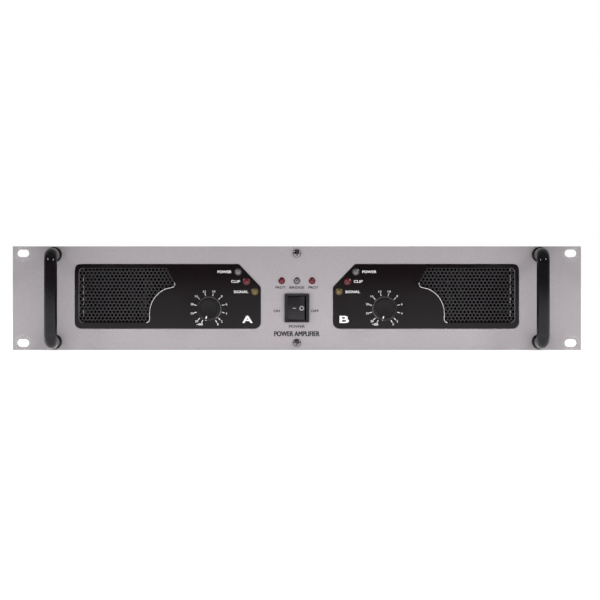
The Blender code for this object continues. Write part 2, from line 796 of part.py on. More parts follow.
def switch_width():
    return WINDOW_WIDTH + 2 * SWITCH_WALL


def switch_height():
    return WINDOW_HEIGHT + 2 * SWITCH_WALL * 2 / 3


def bezel_front_y():
    return FACE_Y - GAP - BEZEL_PROUD


def power_switch_body():
    z = MIDDLE_Z + SWITCH_UP
    outline = rounded_rectangle((0, z), BEZEL_WIDTH, BEZEL_HEIGHT, BEZEL_CORNER)
    body = plate("power_switch_body", outline, [], bezel_front_y(), BEZEL_PROUD)
    half_width, half_height = switch_width() / 2, switch_height() / 2
    low = (-half_width, bezel_front_y() + BEZEL_PROUD / 2, z - half_height)
    high = (half_width, FACE_Y + SWITCH_DEPTH, z + half_height)
    join(body, block("switch_barrel", low, high))
    low = (-WINDOW_WIDTH / 2, bezel_front_y() - BEZEL_PROUD, z - WINDOW_HEIGHT / 2)
    high = (WINDOW_WIDTH / 2, bezel_front_y() + WINDOW_DEPTH, z + WINDOW_HEIGHT / 2)
    cut(body, block("switch_window", low, high))
    return finish(body, "black moulding")


def power_rocker():
    """Pivots on an upright line through its object origin; at rest its left end is pressed."""
    outline = [
        (-ROCKER_HALF_WIDTH, -ROCKER_END),
        (0, -ROCKER_MIDDLE),
        (ROCKER_HALF_WIDTH, -ROCKER_END),
        (ROCKER_BACK_HALF_WIDTH, ROCKER_BACK),
        (-ROCKER_BACK_HALF_WIDTH, ROCKER_BACK),
    ]
    height = WINDOW_HEIGHT - 2 * GAP
    rocker = curve_object("power_rocker", [(outline, True)], extrude=height / 2)
    rocker.location = (0, bezel_front_y() + ROCKER_PIVOT_DEPTH, MIDDLE_Z + SWITCH_UP)
    rocker.rotation_euler.z = -math.radians(ROCK_ANGLE)
    return finish(meshed(rocker), "black moulding")


# ---- case -----------------------------------------------------------------------------------


def bent_sheet(name, low, high, open_sides):
    """Sheet metal folded to a box that lacks the named sides; its thickness lies inside the box."""
    middle = [(a + b) / 2 for a, b in zip(low, high)]
    size = [b - a for a, b in zip(low, high)]
    bm = bmesh.new()
    bmesh.ops.create_cube(bm, size=1, matrix=Matrix.Diagonal((*size, 1)))
    ways = {"top": (0, 0, 1), "bottom": (0, 0, -1), "back": (0, 1, 0), "front": (0, -1, 0)}
    gone = [f for f in bm.faces if any(f.normal.dot(ways[s]) > 0.9 for s in open_sides if s in ways)]
    bmesh.ops.delete(bm, geom=gone, context="FACES")
    obj = mesh_object(name, bm, middle)
    solid = obj.modifiers.new("sheet", "SOLIDIFY")
    solid.thickness = SHEET
    solid.offset = -1
    solid.use_even_offset = True
    return obj


def chassis_tray():
    half = CASE_WIDTH / 2
    low, high = (-half, CASE_FRONT_Y, 0), (half, CASE_BACK_Y, CASE_HEIGHT)
    tray = bent_sheet("chassis_tray", low, high, ("top", "back"))
    wall_y = CASE_FRONT_Y - SHEET
    windows = []
    for name, side in SIDES:
        opening = on_panel(on_side(grille_outline(GRILLE_LAP), side))
        windows.append(plate(f"air_window_{name}", opening, [], wall_y, 3 * SHEET))
    height = INSET_TOP + INSET_BOTTOM
    middle = (INSET_TOP - INSET_BOTTOM) / 2
    opening = on_panel(rectangle((0, middle), 2 * CONTROL_WINDOW_HALF, height))
    windows.append(plate("control_window", opening, [], wall_y, 3 * SHEET))
    for number, foot in enumerate(handle_feet(), 1):
        hole = on_panel(circle(foot, HANDLE_SCREW_RADIUS + GAP, 12))
        windows.append(plate(f"handle_hole_{number}", hole, [], wall_y, 3 * SHEET))
    for name, up in (("top", PANEL_SCREW_UP), ("bottom", -PANEL_SCREW_UP)):
        hole = on_panel(circle((0, up), PANEL_SCREW_RADIUS + GAP, 12))
        windows.append(plate(f"screw_hole_{name}", hole, [], wall_y, 3 * SHEET))
    cut(tray, *windows)
    for name, side in SIDES:
        for number in range(VENT_COUNT):
            y = CASE_FRONT_Y + VENT_START + number * VENT_PITCH
            slot = obround((y, REAR_Z), VENT_HEIGHT, VENT_WIDTH, upright=True)
            cutter = curve_object(f"vent_{name}_{number}", [(slot, True)], extrude=3 * SHEET / 2)
            cutter.rotation_euler = (math.pi / 2, 0, math.pi / 2)
            cutter.location.x = side * (half - SHEET / 2)
            cut(tray, meshed(cutter))
    return finish(tray, "black steel")


def top_cover():
    """Drops between the side walls; its folded edges lie against them."""
    half = CASE_WIDTH / 2 - SHEET - GAP
    low = (-half, CASE_FRONT_Y + SHEET + GAP, CASE_HEIGHT - COVER_FLANGE)
    high = (half, REAR_INSIDE_Y - GAP, CASE_HEIGHT)
    cover = bent_sheet("top_cover", low, high, ("bottom", "front", "back"))
    return finish(cover, "black steel")


def rear_panel():
    half = CASE_WIDTH / 2 - SHEET - GAP
    outline = rectangle((0, (FLOOR_Z + CASE_HEIGHT) / 2), 2 * half, CASE_HEIGHT - FLOOR_Z)
    holes = [circle((0, REAR_Z), FAN_DUCT, 32)]
    inlet = (INLET_ACROSS, REAR_Z)
    holes.append(rectangle(inlet, INLET_BODY[0] + 2 * GAP, INLET_BODY[1] + 2 * GAP))
    holes.append(circle((BREAKER_ACROSS, REAR_Z), BREAKER_NECK_RADIUS + GAP, 16))
    holes += [circle((x, REAR_Z), SPEAKER_BODY_RADIUS + GAP, 24) for x in SPEAKER_ACROSS]
    holes += [circle((x, REAR_Z), INPUT_BODY_RADIUS + GAP, 24) for x in INPUT_ACROSS]
    holes.append(rectangle((MODE_ACROSS, REAR_Z), *MODE_WINDOW))
    holes += [circle((x, REAR_Z + z), FAN_HOLE_RADIUS, 8) for x, z in fan_holes()]
    panel = plate("rear_panel", outline, holes, REAR_INSIDE_Y, SHEET)
    return finish(panel, "black steel")


# ---- inside ---------------------------------------------------------------------------------


def heatsink(name, side):
    """Base plate with level fins towards the side wall, run from front to back in the air stream."""
    fin_pitch = (SINK_HEIGHT - FIN_THICK) / (FIN_COUNT - 1)
    root = SINK_INNER + SINK_BASE
    outline = [(SINK_INNER, 0)]
    for k in range(FIN_COUNT):
        low = k * fin_pitch
        fin = [(root, low), (SINK_OUTER, low), (SINK_OUTER, low + FIN_THICK), (root, low + FIN_THICK)]
        outline += fin[1:] if k == 0 else fin
    outline[-1:] = [(SINK_INNER, SINK_HEIGHT)]
    outline = [(side * x, z + FLOOR_Z) for x, z in outline]
    sink = plate(f"heatsink_{name}", outline, [], CASE_FRONT_Y + SINK_START, SINK_LENGTH)
    return finish(sink, "black anodising")


def output_board(name, side):
    """Upright board; its flat transistors lie against the heatsink."""
    middle_y = CASE_FRONT_Y + SINK_START + SINK_LENGTH / 2
    thick, width, height = DEVICE_SIZE
    face = SINK_INNER - GAP - thick
    corners = sorted((side * face, side * (face - BOARD)))
    low = (corners[0], middle_y - OUTPUT_BOARD_LENGTH / 2, FLOOR_Z)
    high = (corners[1], middle_y + OUTPUT_BOARD_LENGTH / 2, FLOOR_Z + OUTPUT_BOARD_HEIGHT)
    board = block(f"output_board_{name}", low, high)
    pitch = OUTPUT_BOARD_LENGTH / DEVICE_COUNT
    for k in range(DEVICE_COUNT):
        y = middle_y + (k - (DEVICE_COUNT - 1) / 2) * pitch
        corners = sorted((side * (face - BOARD / 2), side * (SINK_INNER - GAP)))
        low = (corners[0], y - width / 2, DEVICE_UP - height / 2)
        high = (corners[1], y + width / 2, DEVICE_UP + height / 2)
        join(board, block(f"device_{name}_{k}", low, high))
    return finish(board, "board green")


def transformer():
    inner, outer, height, r = TORUS_HOLE, TORUS_RADIUS, TORUS_HEIGHT, TORUS_ROUND
    inner_top = arc((inner + r, height - r), r, 180, 90, TORUS_FACETS)
    outer_top = arc((outer - r, height - r), r, 90, 0, TORUS_FACETS)
    outer_foot = arc((outer - r, r), r, 0, -90, TORUS_FACETS)
    inner_foot = arc((inner + r, r), r, 270, 180, TORUS_FACETS)
    profile = [*inner_top, *outer_top, *outer_foot, *inner_foot, inner_top[0]]
    place = (0, CASE_FRONT_Y + TORUS_FROM_FRONT, FLOOR_Z)
    return finish(turned("transformer", profile, place, "up", 28), "winding wrap")


def transformer_clamp():
    """A dished washer on the transformer, with the bolt that draws it down to the case's floor."""
    under = TORUS_HEIGHT + GAP
    profile = [
        (0, under + CLAMP_THICK + CLAMP_HEAD),
        (CLAMP_HEAD_RADIUS, under + CLAMP_THICK + CLAMP_HEAD),
        (CLAMP_HEAD_RADIUS, under + CLAMP_THICK),
        (CLAMP_RADIUS, under + CLAMP_THICK),
        (CLAMP_RADIUS, under),
        (CLAMP_BOLT_RADIUS, under),
        (CLAMP_BOLT_RADIUS, 0),
        (0, 0),
    ]
    place = (0, CASE_FRONT_Y + TORUS_FROM_FRONT, FLOOR_Z)
    return finish(turned("transformer_clamp", profile, place, "up", 24), "plated steel")


def supply_board():
    y = CASE_FRONT_Y + SUPPLY_BOARD_FROM_FRONT
    outline = rounded_rectangle((0, y), SUPPLY_BOARD_WIDTH, SUPPLY_BOARD_LENGTH, 2 * BOARD)
    board = slab("supply_board", outline, [], FLOOR_Z + STANDOFF_HEIGHT, BOARD)
    half_width = SUPPLY_BOARD_WIDTH / 2 - STANDOFF_INSET
    half_length = SUPPLY_BOARD_LENGTH / 2 - STANDOFF_INSET
    top = STANDOFF_HEIGHT + BOARD / 2
    profile = [(0, top), (STANDOFF_RADIUS, top), (STANDOFF_RADIUS, 0), (0, 0)]
    for dx in (-half_width, half_width):
        for dy in (-half_length, half_length):
            name = f"standoff_{'l' if dx < 0 else 'r'}{'f' if dy < 0 else 'b'}"
            join(board, turned(name, profile, (dx, y + dy, FLOOR_Z), "up", 12))
    return finish(board, "board green")


def filter_caps():
    z = FLOOR_Z + STANDOFF_HEIGHT + BOARD + GAP
    y = CASE_FRONT_Y + SUPPLY_BOARD_FROM_FRONT
    edge = CAP_RADIUS / 12
    profile = [
        (0, CAP_HEIGHT),
        (CAP_RADIUS - edge, CAP_HEIGHT),
        (CAP_RADIUS, CAP_HEIGHT - edge),
        (CAP_RADIUS, 0),
        (0, 0),
    ]
    spots = [(-1, -1), (1, -1), (-1, 1), (1, 1)]
    for number, (dx, dy) in enumerate(spots, 1):
        place = (dx * CAP_PITCH, y + dy * CAP_PITCH / 2, z)
        finish(turned(f"filter_cap_{number}", profile, place, "up", 20), "capacitor sleeve")


def rectifier():
    y, half = CASE_FRONT_Y + RECTIFIER_FROM_FRONT, RECTIFIER_SIDE / 2
    low = (-RECTIFIER_ACROSS - half, y - half, FLOOR_Z)
    high = (-RECTIFIER_ACROSS + half, y + half, FLOOR_Z + RECTIFIER_HEIGHT)
    return finish(block("rectifier", low, high), "black moulding")


# ---- fan ------------------------------------------------------------------------------------


def fan_holes():
    half = FAN_HOLE_SPACING / 2
    return [(x, z) for x in (-half, half) for z in (-half, half)]


def fan_frame():
    back_y = REAR_INSIDE_Y - GAP
    front_y = back_y - FAN_DEPTH
    outline = rounded_rectangle((0, REAR_Z), FAN_SIDE, FAN_SIDE, FAN_CORNER)
    holes = [circle((0, REAR_Z), FAN_DUCT, 32)]
    holes += [circle((x, REAR_Z + z), FAN_HOLE_RADIUS, 8) for x, z in fan_holes()]
    frame = plate("fan_frame", outline, holes, front_y, FAN_DEPTH)
    mount = [(0, MOTOR_PLATE), (MOTOR_RADIUS, MOTOR_PLATE), (MOTOR_RADIUS, 0), (0, 0)]
    motor = turned("motor_mount", mount, (0, front_y + MOTOR_PLATE, REAR_Z), "front", 24)
    reach = FAN_DUCT + GAP
    for name, dx, dz in (("strut_level", reach, STRUT_WIDTH / 2), ("strut_upright", STRUT_WIDTH / 2, reach)):
        low = (-dx, front_y, REAR_Z - dz)
        high = (dx, front_y + MOTOR_PLATE, REAR_Z + dz)
        join(motor, block(name, low, high))
    return finish(smooth(join(frame, motor)), "black moulding")


def fan_rotor():
    """Turns about the depth axis through its object origin."""
    back_y = REAR_INSIDE_Y - GAP - ROTOR_SETBACK
    edge = ROTOR_DEPTH / 8
    profile = [
        (0, ROTOR_DEPTH / 2),
        (MOTOR_RADIUS - edge, ROTOR_DEPTH / 2),
        (MOTOR_RADIUS, ROTOR_DEPTH / 2 - edge),
        (MOTOR_RADIUS, -ROTOR_DEPTH / 2),
        (0, -ROTOR_DEPTH / 2),
    ]
    place = (0, back_y - ROTOR_DEPTH / 2, REAR_Z)
    rotor = turned("fan_rotor", profile, place, "rear", 24)
    root = MOTOR_RADIUS - BLADE_THICK
    length = ROTOR_RADIUS - root
    bm = bmesh.new()
    for k in range(BLADE_COUNT):
        turn = Matrix.Rotation(2 * math.pi * k / BLADE_COUNT, 4, "Z")
        out = Matrix.Translation((root + length / 2, 0, 0))
        pitch = Matrix.Rotation(math.radians(BLADE_PITCH), 4, "X")
        size = Matrix.Diagonal((length, BLADE_CHORD, BLADE_THICK, 1))
        bmesh.ops.create_cube(bm, size=1, matrix=turn @ out @ pitch @ size)
    blades = mesh_object("blades", bm, place)
    blades.rotation_euler.x = -math.pi / 2
    return finish(join(rotor, blades), "black moulding")


def guard_outline():
    """A round rim with four ears over the fan's screws."""
    reach = math.hypot(FAN_HOLE_SPACING, FAN_HOLE_SPACING) / 2
    lean = math.degrees(math.asin(GUARD_EAR / GUARD_RIM))
    outline = []
    for corner in (45, 135, 225, 315):
        a = math.radians(corner)
        tip = (reach * math.cos(a), reach * math.sin(a))
        outline += arc((0, 0), GUARD_RIM, corner - 90 + lean, corner - lean, 2 * SEGMENTS)
        outline += arc(tip, GUARD_EAR, corner - 90, corner + 90, SEGMENTS)
    return outline


def fan_guard():
    holes = [circle(spot, FAN_HOLE_RADIUS, 8) for spot in fan_holes()]
    for ring in range(GUARD_RINGS):
        outer = GUARD_RIM - GUARD_BAR - ring * (GUARD_GAP + GUARD_BAR)
        inner = outer - GUARD_GAP
        for corner in (45, 135, 225, 315):
            ends = [math.degrees(math.asin(GUARD_BAR / 2 / radius)) for radius in (outer, inner)]
            far = arc((0, 0), outer, corner - 90 + ends[0], corner - ends[0], 2 * SEGMENTS)
            near = arc((0, 0), inner, corner - ends[1], corner - 90 + ends[1], SEGMENTS)
            holes.append(far + near)
    lift = lambda loop: [(x, z + REAR_Z) for x, z in loop]
    guard = plate("fan_guard", lift(guard_outline()), map(lift, holes), CASE_BACK_Y + GAP, GUARD_THICK)
    return finish(guard, "plated steel")


# ---- rear connectors ------------------------------------------------------------------------


def rear_flange(name, across, size, corner, thickness):
    outline = rounded_rectangle((across, REAR_Z), *size, corner)
    return plate(name, outline, [], CASE_BACK_Y + GAP, thickness)


def mains_inlet():
    inlet = rear_flange("mains_inlet", INLET_ACROSS, INLET_FLANGE, SOCKET_CORNER, INLET_FLANGE_THICK)
    face_y = CASE_BACK_Y + GAP + INLET_FLANGE_THICK
    half_width, half_height = INLET_BODY[0] / 2, INLET_BODY[1] / 2
    low = (INLET_ACROSS - half_width, face_y - INLET_BODY_DEPTH, REAR_Z - half_height)
    high = (INLET_ACROSS + half_width, face_y - INLET_FLANGE_THICK / 2, REAR_Z + half_height)
    join(inlet, block("inlet_body", low, high))
    cut_corner, (width, height) = INLET_CAVITY[1] / 4, INLET_CAVITY
    left, right = INLET_ACROSS - width / 2, INLET_ACROSS + width / 2
    bottom, top = REAR_Z - height / 2, REAR_Z + height / 2
    cavity = [
        (left, bottom),
        (right, bottom),
        (right, top - cut_corner),
        (right - cut_corner, top),
        (left + cut_corner, top),
        (left, top - cut_corner),
    ]
    floor_y = face_y - INLET_CAVITY_DEPTH
    cut(inlet, plate("inlet_cavity", cavity, [], floor_y, 2 * INLET_CAVITY_DEPTH))
    pin_width, pin_height = INLET_PIN
    for number, (dx, dz) in enumerate(((-1, -0.25), (0, 0.25), (1, -0.25))):
        x, z = INLET_ACROSS + dx * INLET_PIN_PITCH, REAR_Z + dz * INLET_PIN[1] * 2
        low = (x - pin_width / 2, floor_y - pin_width, z - pin_height / 2)
        high = (x + pin_width / 2, floor_y + INLET_PIN_LENGTH, z + pin_height / 2)
        join(inlet, block(f"inlet_pin_{number}", low, high))
    return finish(inlet, "black moulding")


def breaker_body():
    """Neck and nut outside, body inside, with the button's bore in the neck."""
    bore = BUTTON_RADIUS + GAP
    floor = BREAKER_NECK - BUTTON_BURIED - BUTTON_TRAVEL - GAP
    profile = [
        (0, floor),
        (bore, floor),
        (bore, BREAKER_NECK),
        (BREAKER_NECK_RADIUS, BREAKER_NECK),
        (BREAKER_NECK_RADIUS, GAP + BREAKER_NUT),
        (BREAKER_NUT_RADIUS, GAP + BREAKER_NUT),
        (BREAKER_NUT_RADIUS, GAP),
        (BREAKER_NECK_RADIUS, GAP),
        (BREAKER_NECK_RADIUS, -SHEET - GAP),
        (BREAKER_BODY_RADIUS, -SHEET - GAP),
        (BREAKER_BODY_RADIUS, -BREAKER_BODY_DEPTH),
        (0, -BREAKER_BODY_DEPTH),
    ]
    place = (BREAKER_ACROSS, CASE_BACK_Y, REAR_Z)
    return finish(turned("breaker_body", profile, place, "rear", 20), "black moulding")


def breaker_button():
    top = BREAKER_NECK + BUTTON_PROUD
    edge = BUTTON_RADIUS / 5
    profile = [
        (0, top),
        (BUTTON_RADIUS - edge, top),
        (BUTTON_RADIUS, top - edge),
        (BUTTON_RADIUS, BREAKER_NECK - BUTTON_BURIED),
        (0, BREAKER_NECK - BUTTON_BURIED),
    ]
    place = (BREAKER_ACROSS, CASE_BACK_Y, REAR_Z)
    return finish(turned("breaker_button", profile, place, "rear", 16), "red lens")


def speaker_socket(channel, across):
    name = f"speaker_socket_{channel}"
    socket = rear_flange(name, across, SOCKET_FLANGE, SOCKET_CORNER, SOCKET_FLANGE_THICK)
    face = GAP + SOCKET_FLANGE_THICK
    place = (across, CASE_BACK_Y, REAR_Z)
    barrel = [
        (0, face / 2),
        (SPEAKER_BODY_RADIUS, face / 2),
        (SPEAKER_BODY_RADIUS, -SPEAKER_DEPTH),
        (0, -SPEAKER_DEPTH),
    ]
    join(socket, turned(f"speaker_barrel_{channel}", barrel, place, "rear", 24))
    high, low = face * 2, face - SPEAKER_CAVITY_DEPTH
    ring = [
        (SPEAKER_CORE_RADIUS, high),
        (SPEAKER_CAVITY_RADIUS, high),
        (SPEAKER_CAVITY_RADIUS, low),
        (SPEAKER_CORE_RADIUS, low),
        (SPEAKER_CORE_RADIUS, high),
    ]
    cut(socket, turned(f"speaker_cavity_{channel}", ring, place, "rear", 24))
    return finish(socket, "black moulding")


def input_jack(channel, across):
    name = f"input_jack_{channel}"
    jack = rear_flange(name, across, SOCKET_FLANGE, SOCKET_CORNER, SOCKET_FLANGE_THICK)
    face = GAP + SOCKET_FLANGE_THICK
    place = (across, CASE_BACK_Y, REAR_Z)
    barrel = [
        (0, face / 2),
        (INPUT_BODY_RADIUS, face / 2),
        (INPUT_BODY_RADIUS, -INPUT_DEPTH),
        (0, -INPUT_DEPTH),
    ]
    join(jack, turned(f"input_barrel_{channel}", barrel, place, "rear", 24))
    high, low = face * 2, face - INPUT_GROOVE_DEPTH
    groove = [
        (INPUT_GROOVE_INNER, high),
        (INPUT_GROOVE_OUTER, high),
        (INPUT_GROOVE_OUTER, low),
        (INPUT_GROOVE_INNER, low),
        (INPUT_GROOVE_INNER, high),
    ]
    cut(jack, turned(f"input_groove_{channel}", groove, place, "rear", 24))
    low = face - INPUT_BORE_DEPTH
    bore = [(0, high), (INPUT_BORE_RADIUS, high), (INPUT_BORE_RADIUS, low), (0, low)]
    cut(jack, turned(f"input_bore_{channel}", bore, place, "rear", 16))
    return finish(jack, "black moulding")


def input_board():
    front_y = CASE_BACK_Y - INPUT_DEPTH - GAP - BOARD
    outline = rectangle((INPUT_BOARD_ACROSS, REAR_Z), INPUT_BOARD_WIDTH, INPUT_BOARD_HEIGHT)
    return finish(plate("input_board", outline, [], front_y, BOARD), "board green")


def mode_switch_body():
    """Reaches from the rear panel to the input board, with a trough for the slider."""
    width, height = MODE_BODY
    back_y = REAR_INSIDE_Y - GAP
    low = (MODE_ACROSS - width / 2, CASE_BACK_Y - INPUT_DEPTH, REAR_Z - height / 2)
    high = (MODE_ACROSS + width / 2, back_y, REAR_Z + height / 2)
    body = block("mode_switch_body", low, high)
    width, height = MODE_WINDOW
    low = (MODE_ACROSS - width / 2, back_y - MODE_WINDOW_DEPTH, REAR_Z - height / 2)
    high = (MODE_ACROSS + width / 2, back_y + MODE_WINDOW_DEPTH, REAR_Z + height / 2)
    return finish(cut(body, block("mode_trough", low, high)), "plated steel")


def mode_switch_slider():
    """Slides across the trough; at rest it is at the end nearer the middle."""
    x = MODE_ACROSS + SLIDER_TRAVEL / 2
    low = (x - SLIDER_WIDTH / 2, REAR_INSIDE_Y - GAP - SLIDER_BURIED, REAR_Z - SLIDER_HEIGHT / 2)
    high = (x + SLIDER_WIDTH / 2, CASE_BACK_Y + SLIDER_PROUD, REAR_Z + SLIDER_HEIGHT / 2)
    return finish(block("mode_switch_slider", low, high), "black moulding")


# ---- all of it ------------------------------------------------------------------------------


def build():
    front_panel()
    for name, side in SIDES:
        control_inset(name, side)
        grille(name, side)
        heatsink(name, side)
        output_board(name, side)
    handles()
    for number, place in enumerate(handle_feet(), 1):
        handle_screw(number, place)
    panel_screw("top", 1)
    panel_screw("bottom", -1)
    for channel, side in CHANNELS:
        level_knob(channel, side)
        level_shaft(channel, side)
        level_pot(channel, side)
    for name, across, up in led_places():
        led(name, across, up)
    control_board()
    power_switch_body()
    power_rocker()
    chassis_tray()
    top_cover()
    rear_panel()
    transformer()
    transformer_clamp()
    supply_board()
    filter_caps()
    rectifier()
    fan_frame()
    fan_rotor()
    fan_guard()
    mains_inlet()
    breaker_body()
    breaker_button()
    for (channel, _), socket, jack in zip(CHANNELS, SPEAKER_ACROSS, INPUT_ACROSS):
        speaker_socket(channel, socket)
        input_jack(channel, jack)
    input_board()
    mode_switch_body()
    mode_switch_slider()


clear_scene()
parts = new_collection("power_amplifier")
cutters = new_collection("cutters")
build()
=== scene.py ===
"""Looks of a two-channel rack power amplifier, two rack units high.

Metres, +Z up, the front faces -Y and channel A is at -X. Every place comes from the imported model:
on the front, (across, up) is counted from the middle of the panel's face.
"""

import json
import math

import bmesh
import bpy
from mathutils import Matrix, Vector


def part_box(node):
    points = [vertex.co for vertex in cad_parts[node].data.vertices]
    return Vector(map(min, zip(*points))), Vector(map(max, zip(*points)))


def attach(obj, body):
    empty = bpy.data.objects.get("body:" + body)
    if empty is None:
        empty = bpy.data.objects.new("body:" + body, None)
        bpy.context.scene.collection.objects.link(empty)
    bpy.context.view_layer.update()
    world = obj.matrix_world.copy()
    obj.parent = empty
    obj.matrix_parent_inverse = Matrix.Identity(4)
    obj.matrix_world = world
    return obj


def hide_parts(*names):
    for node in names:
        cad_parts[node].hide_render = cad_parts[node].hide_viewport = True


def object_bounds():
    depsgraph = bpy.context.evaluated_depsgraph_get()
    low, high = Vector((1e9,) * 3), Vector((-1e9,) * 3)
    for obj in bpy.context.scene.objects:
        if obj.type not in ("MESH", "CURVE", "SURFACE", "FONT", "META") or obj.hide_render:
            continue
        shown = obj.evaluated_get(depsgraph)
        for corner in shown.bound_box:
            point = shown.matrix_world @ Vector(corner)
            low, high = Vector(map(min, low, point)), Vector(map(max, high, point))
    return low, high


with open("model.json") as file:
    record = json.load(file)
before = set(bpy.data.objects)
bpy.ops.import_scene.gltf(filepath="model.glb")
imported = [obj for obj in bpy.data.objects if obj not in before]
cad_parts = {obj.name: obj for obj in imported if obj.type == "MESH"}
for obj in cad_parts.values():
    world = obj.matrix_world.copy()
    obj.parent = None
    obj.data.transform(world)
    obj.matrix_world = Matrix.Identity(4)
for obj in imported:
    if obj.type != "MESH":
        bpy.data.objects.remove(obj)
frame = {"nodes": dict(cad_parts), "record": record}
cad_low, cad_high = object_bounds()
nodes = frame["nodes"]
scene = bpy.context.scene


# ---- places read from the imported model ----


def middle(node):
    low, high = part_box(node)
    return (low + high) / 2


def size(node):
    low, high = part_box(node)
    return high - low


def round_size(node):
    """Radius and length of a round node that lies front to back."""
    low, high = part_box(node)
    return (high.x - low.x) / 2, high.y - low.y


def rear_face(node):
    """The middle of a rear fitting's outer face."""
    return middle(node).x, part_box(node)[1].y, REAR_Z


def about_z(degrees):
    return Matrix.Rotation(math.radians(degrees), 4, "Z")


PANEL_LOW, PANEL_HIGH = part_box("front_panel")
CASE_LOW, CASE_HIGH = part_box("chassis_tray")
FACE_Y = PANEL_LOW.y
MIDDLE_Z = (PANEL_LOW.z + PANEL_HIGH.z) / 2
INSET_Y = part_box("inset_left")[0].y
BACK_Y = CASE_HIGH.y
REAR_Z = middle("fan_frame").z
SIDES = ("left", "right")
CHANNELS = ("a", "b")

# Directions a shape drawn in XY, with its front at +Z, can be turned to
FRONT = Matrix.Rotation(math.pi / 2, 4, "X")
REAR = about_z(180) @ FRONT
RIGHT = about_z(90) @ FRONT
LEFT = about_z(-90) @ FRONT
UP = Matrix.Identity(4)

SLOT_IN, SLOT_DOWN = 0.00875, 0.00595  # a rack slot's middle from the panel's side and top

ON_INSET = (0, INSET_Y, MIDDLE_Z)
INK = 0.00006  # thickness of printed legends


# ---- shader maths ----


class Value:
    """A socket of a node tree. Arithmetic on it adds Math nodes."""

    def __init__(self, graph, socket):
        self.graph = graph
        self.socket = socket

    def math(self, operation, *inputs):
        return self.graph.node("Math", {"operation": operation}, dict(enumerate(inputs)))

    def __add__(self, other):
        return self.math("ADD", self, other)

    def __sub__(self, other):
        return self.math("SUBTRACT", self, other)

    def __rsub__(self, other):
        return self.math("SUBTRACT", other, self)

    def __mul__(self, other):
        return self.math("MULTIPLY", self, other)

    def __pow__(self, other):
        return self.math("POWER", self, other)

    def __abs__(self):
        return self.math("ABSOLUTE", self)

    __radd__ = __add__
    __rmul__ = __mul__

    def sine(self):
        return self.math("SINE", self)

    def fraction(self):
        return self.math("FRACT", self)

    def angle_from(self, other):
        return self.math("ARCTAN2", self, other)

    def between(self, low, high):
        """0 below low and 1 above high, with a soft step from one to the other."""
        settings = {"interpolation_type": "SMOOTHSTEP"}
        sockets = {"Value": self, "From Min": low, "From Max": high}
        return self.graph.node("MapRange", settings, sockets)


class Graph:
    """The node tree of a material or of the world."""

    def __init__(self, owner):
        owner.use_nodes = True
        self.tree = owner.node_tree

    def feed(self, socket, value):
        if isinstance(value, Value):
            self.tree.links.new(value.socket, socket)
        elif socket.type == "RGBA":
            socket.default_value = (*value, 1.0)
        else:
            socket.default_value = value

    def node(self, kind, settings, sockets, output=0):
        """Adds a node: its settings first, then the values or links of its sockets."""
        made = self.tree.nodes.new("ShaderNode" + kind)
        for name, value in settings.items():
            setattr(made, name, value)
        for name, value in sockets.items():
            self.feed(made.inputs[name], value)
        return Value(self, made.outputs[output])

    def mix(self, share, first, second):
        return self.node("Mix", {"data_type": "RGBA"}, {0: share, 6: first, 7: second}, 2)

    def axes(self, place):
        return [self.node("SeparateXYZ", {}, {0: place}, k) for k in range(3)]


class Finish(Graph):
    """A procedural material. Its patterns are read in metres from the piece's own origin."""

    def __init__(self, name, **constants):
        self.material = bpy.data.materials.new(name)
        super().__init__(self.material)
        self.shader = self.tree.nodes["Principled BSDF"]
        self.place = self.node("TexCoord", {}, {}, "Object")
        self.set(**constants)

    def set(self, **sockets):
        for name, value in sockets.items():
            self.feed(self.shader.inputs[SOCKETS[name]], value)
        return self

    def noise(self, scale, detail, squeeze=None):
        """Noise, drawn out along the axes whose squeeze is under 1."""
        place = self.place
        if squeeze:
            place = self.node("VectorMath", {"operation": "MULTIPLY"}, {0: place, 1: squeeze})
        return self.node("TexNoise", {}, {"Vector": place, "Scale": scale, "Detail": detail})

    def cells(self, scale, output="Distance"):
        """Distance to the nearest seed, or one tone for each cell."""
        found = self.node("TexVoronoi", {}, {"Vector": self.place, "Scale": scale}, output)
        if output == "Distance":
            return found
        return self.node("SeparateColor", {}, {0: found})

    def bumps(self, height, distance, strength):
        sockets = {"Height": height, "Distance": distance, "Strength": strength}
        return self.set(normal=self.node("Bump", {}, sockets))


SOCKETS = {
    "base": "Base Color",
    "roughness": "Roughness",
    "metallic": "Metallic",
    "normal": "Normal",
    "specular": "Specular IOR Level",
    "coat": "Coat Weight",
    "coat_roughness": "Coat Roughness",
    "emission": "Emission Color",
    "glow": "Emission Strength",
}


# ---- finishes ----


def grained(name, dark, pale, cloud, grain, roughness, relief, **constants):
    """A finish that drifts from dark to pale, with a grain that roughens and lifts it."""
    f = Finish(name, **constants)
    fine = f.noise(*grain)
    least, spread = roughness
    rough = least + fine * spread if spread else least
    f.set(base=f.mix(f.noise(*cloud), dark, pale), roughness=rough)
    return f.bumps(fine, *relief)


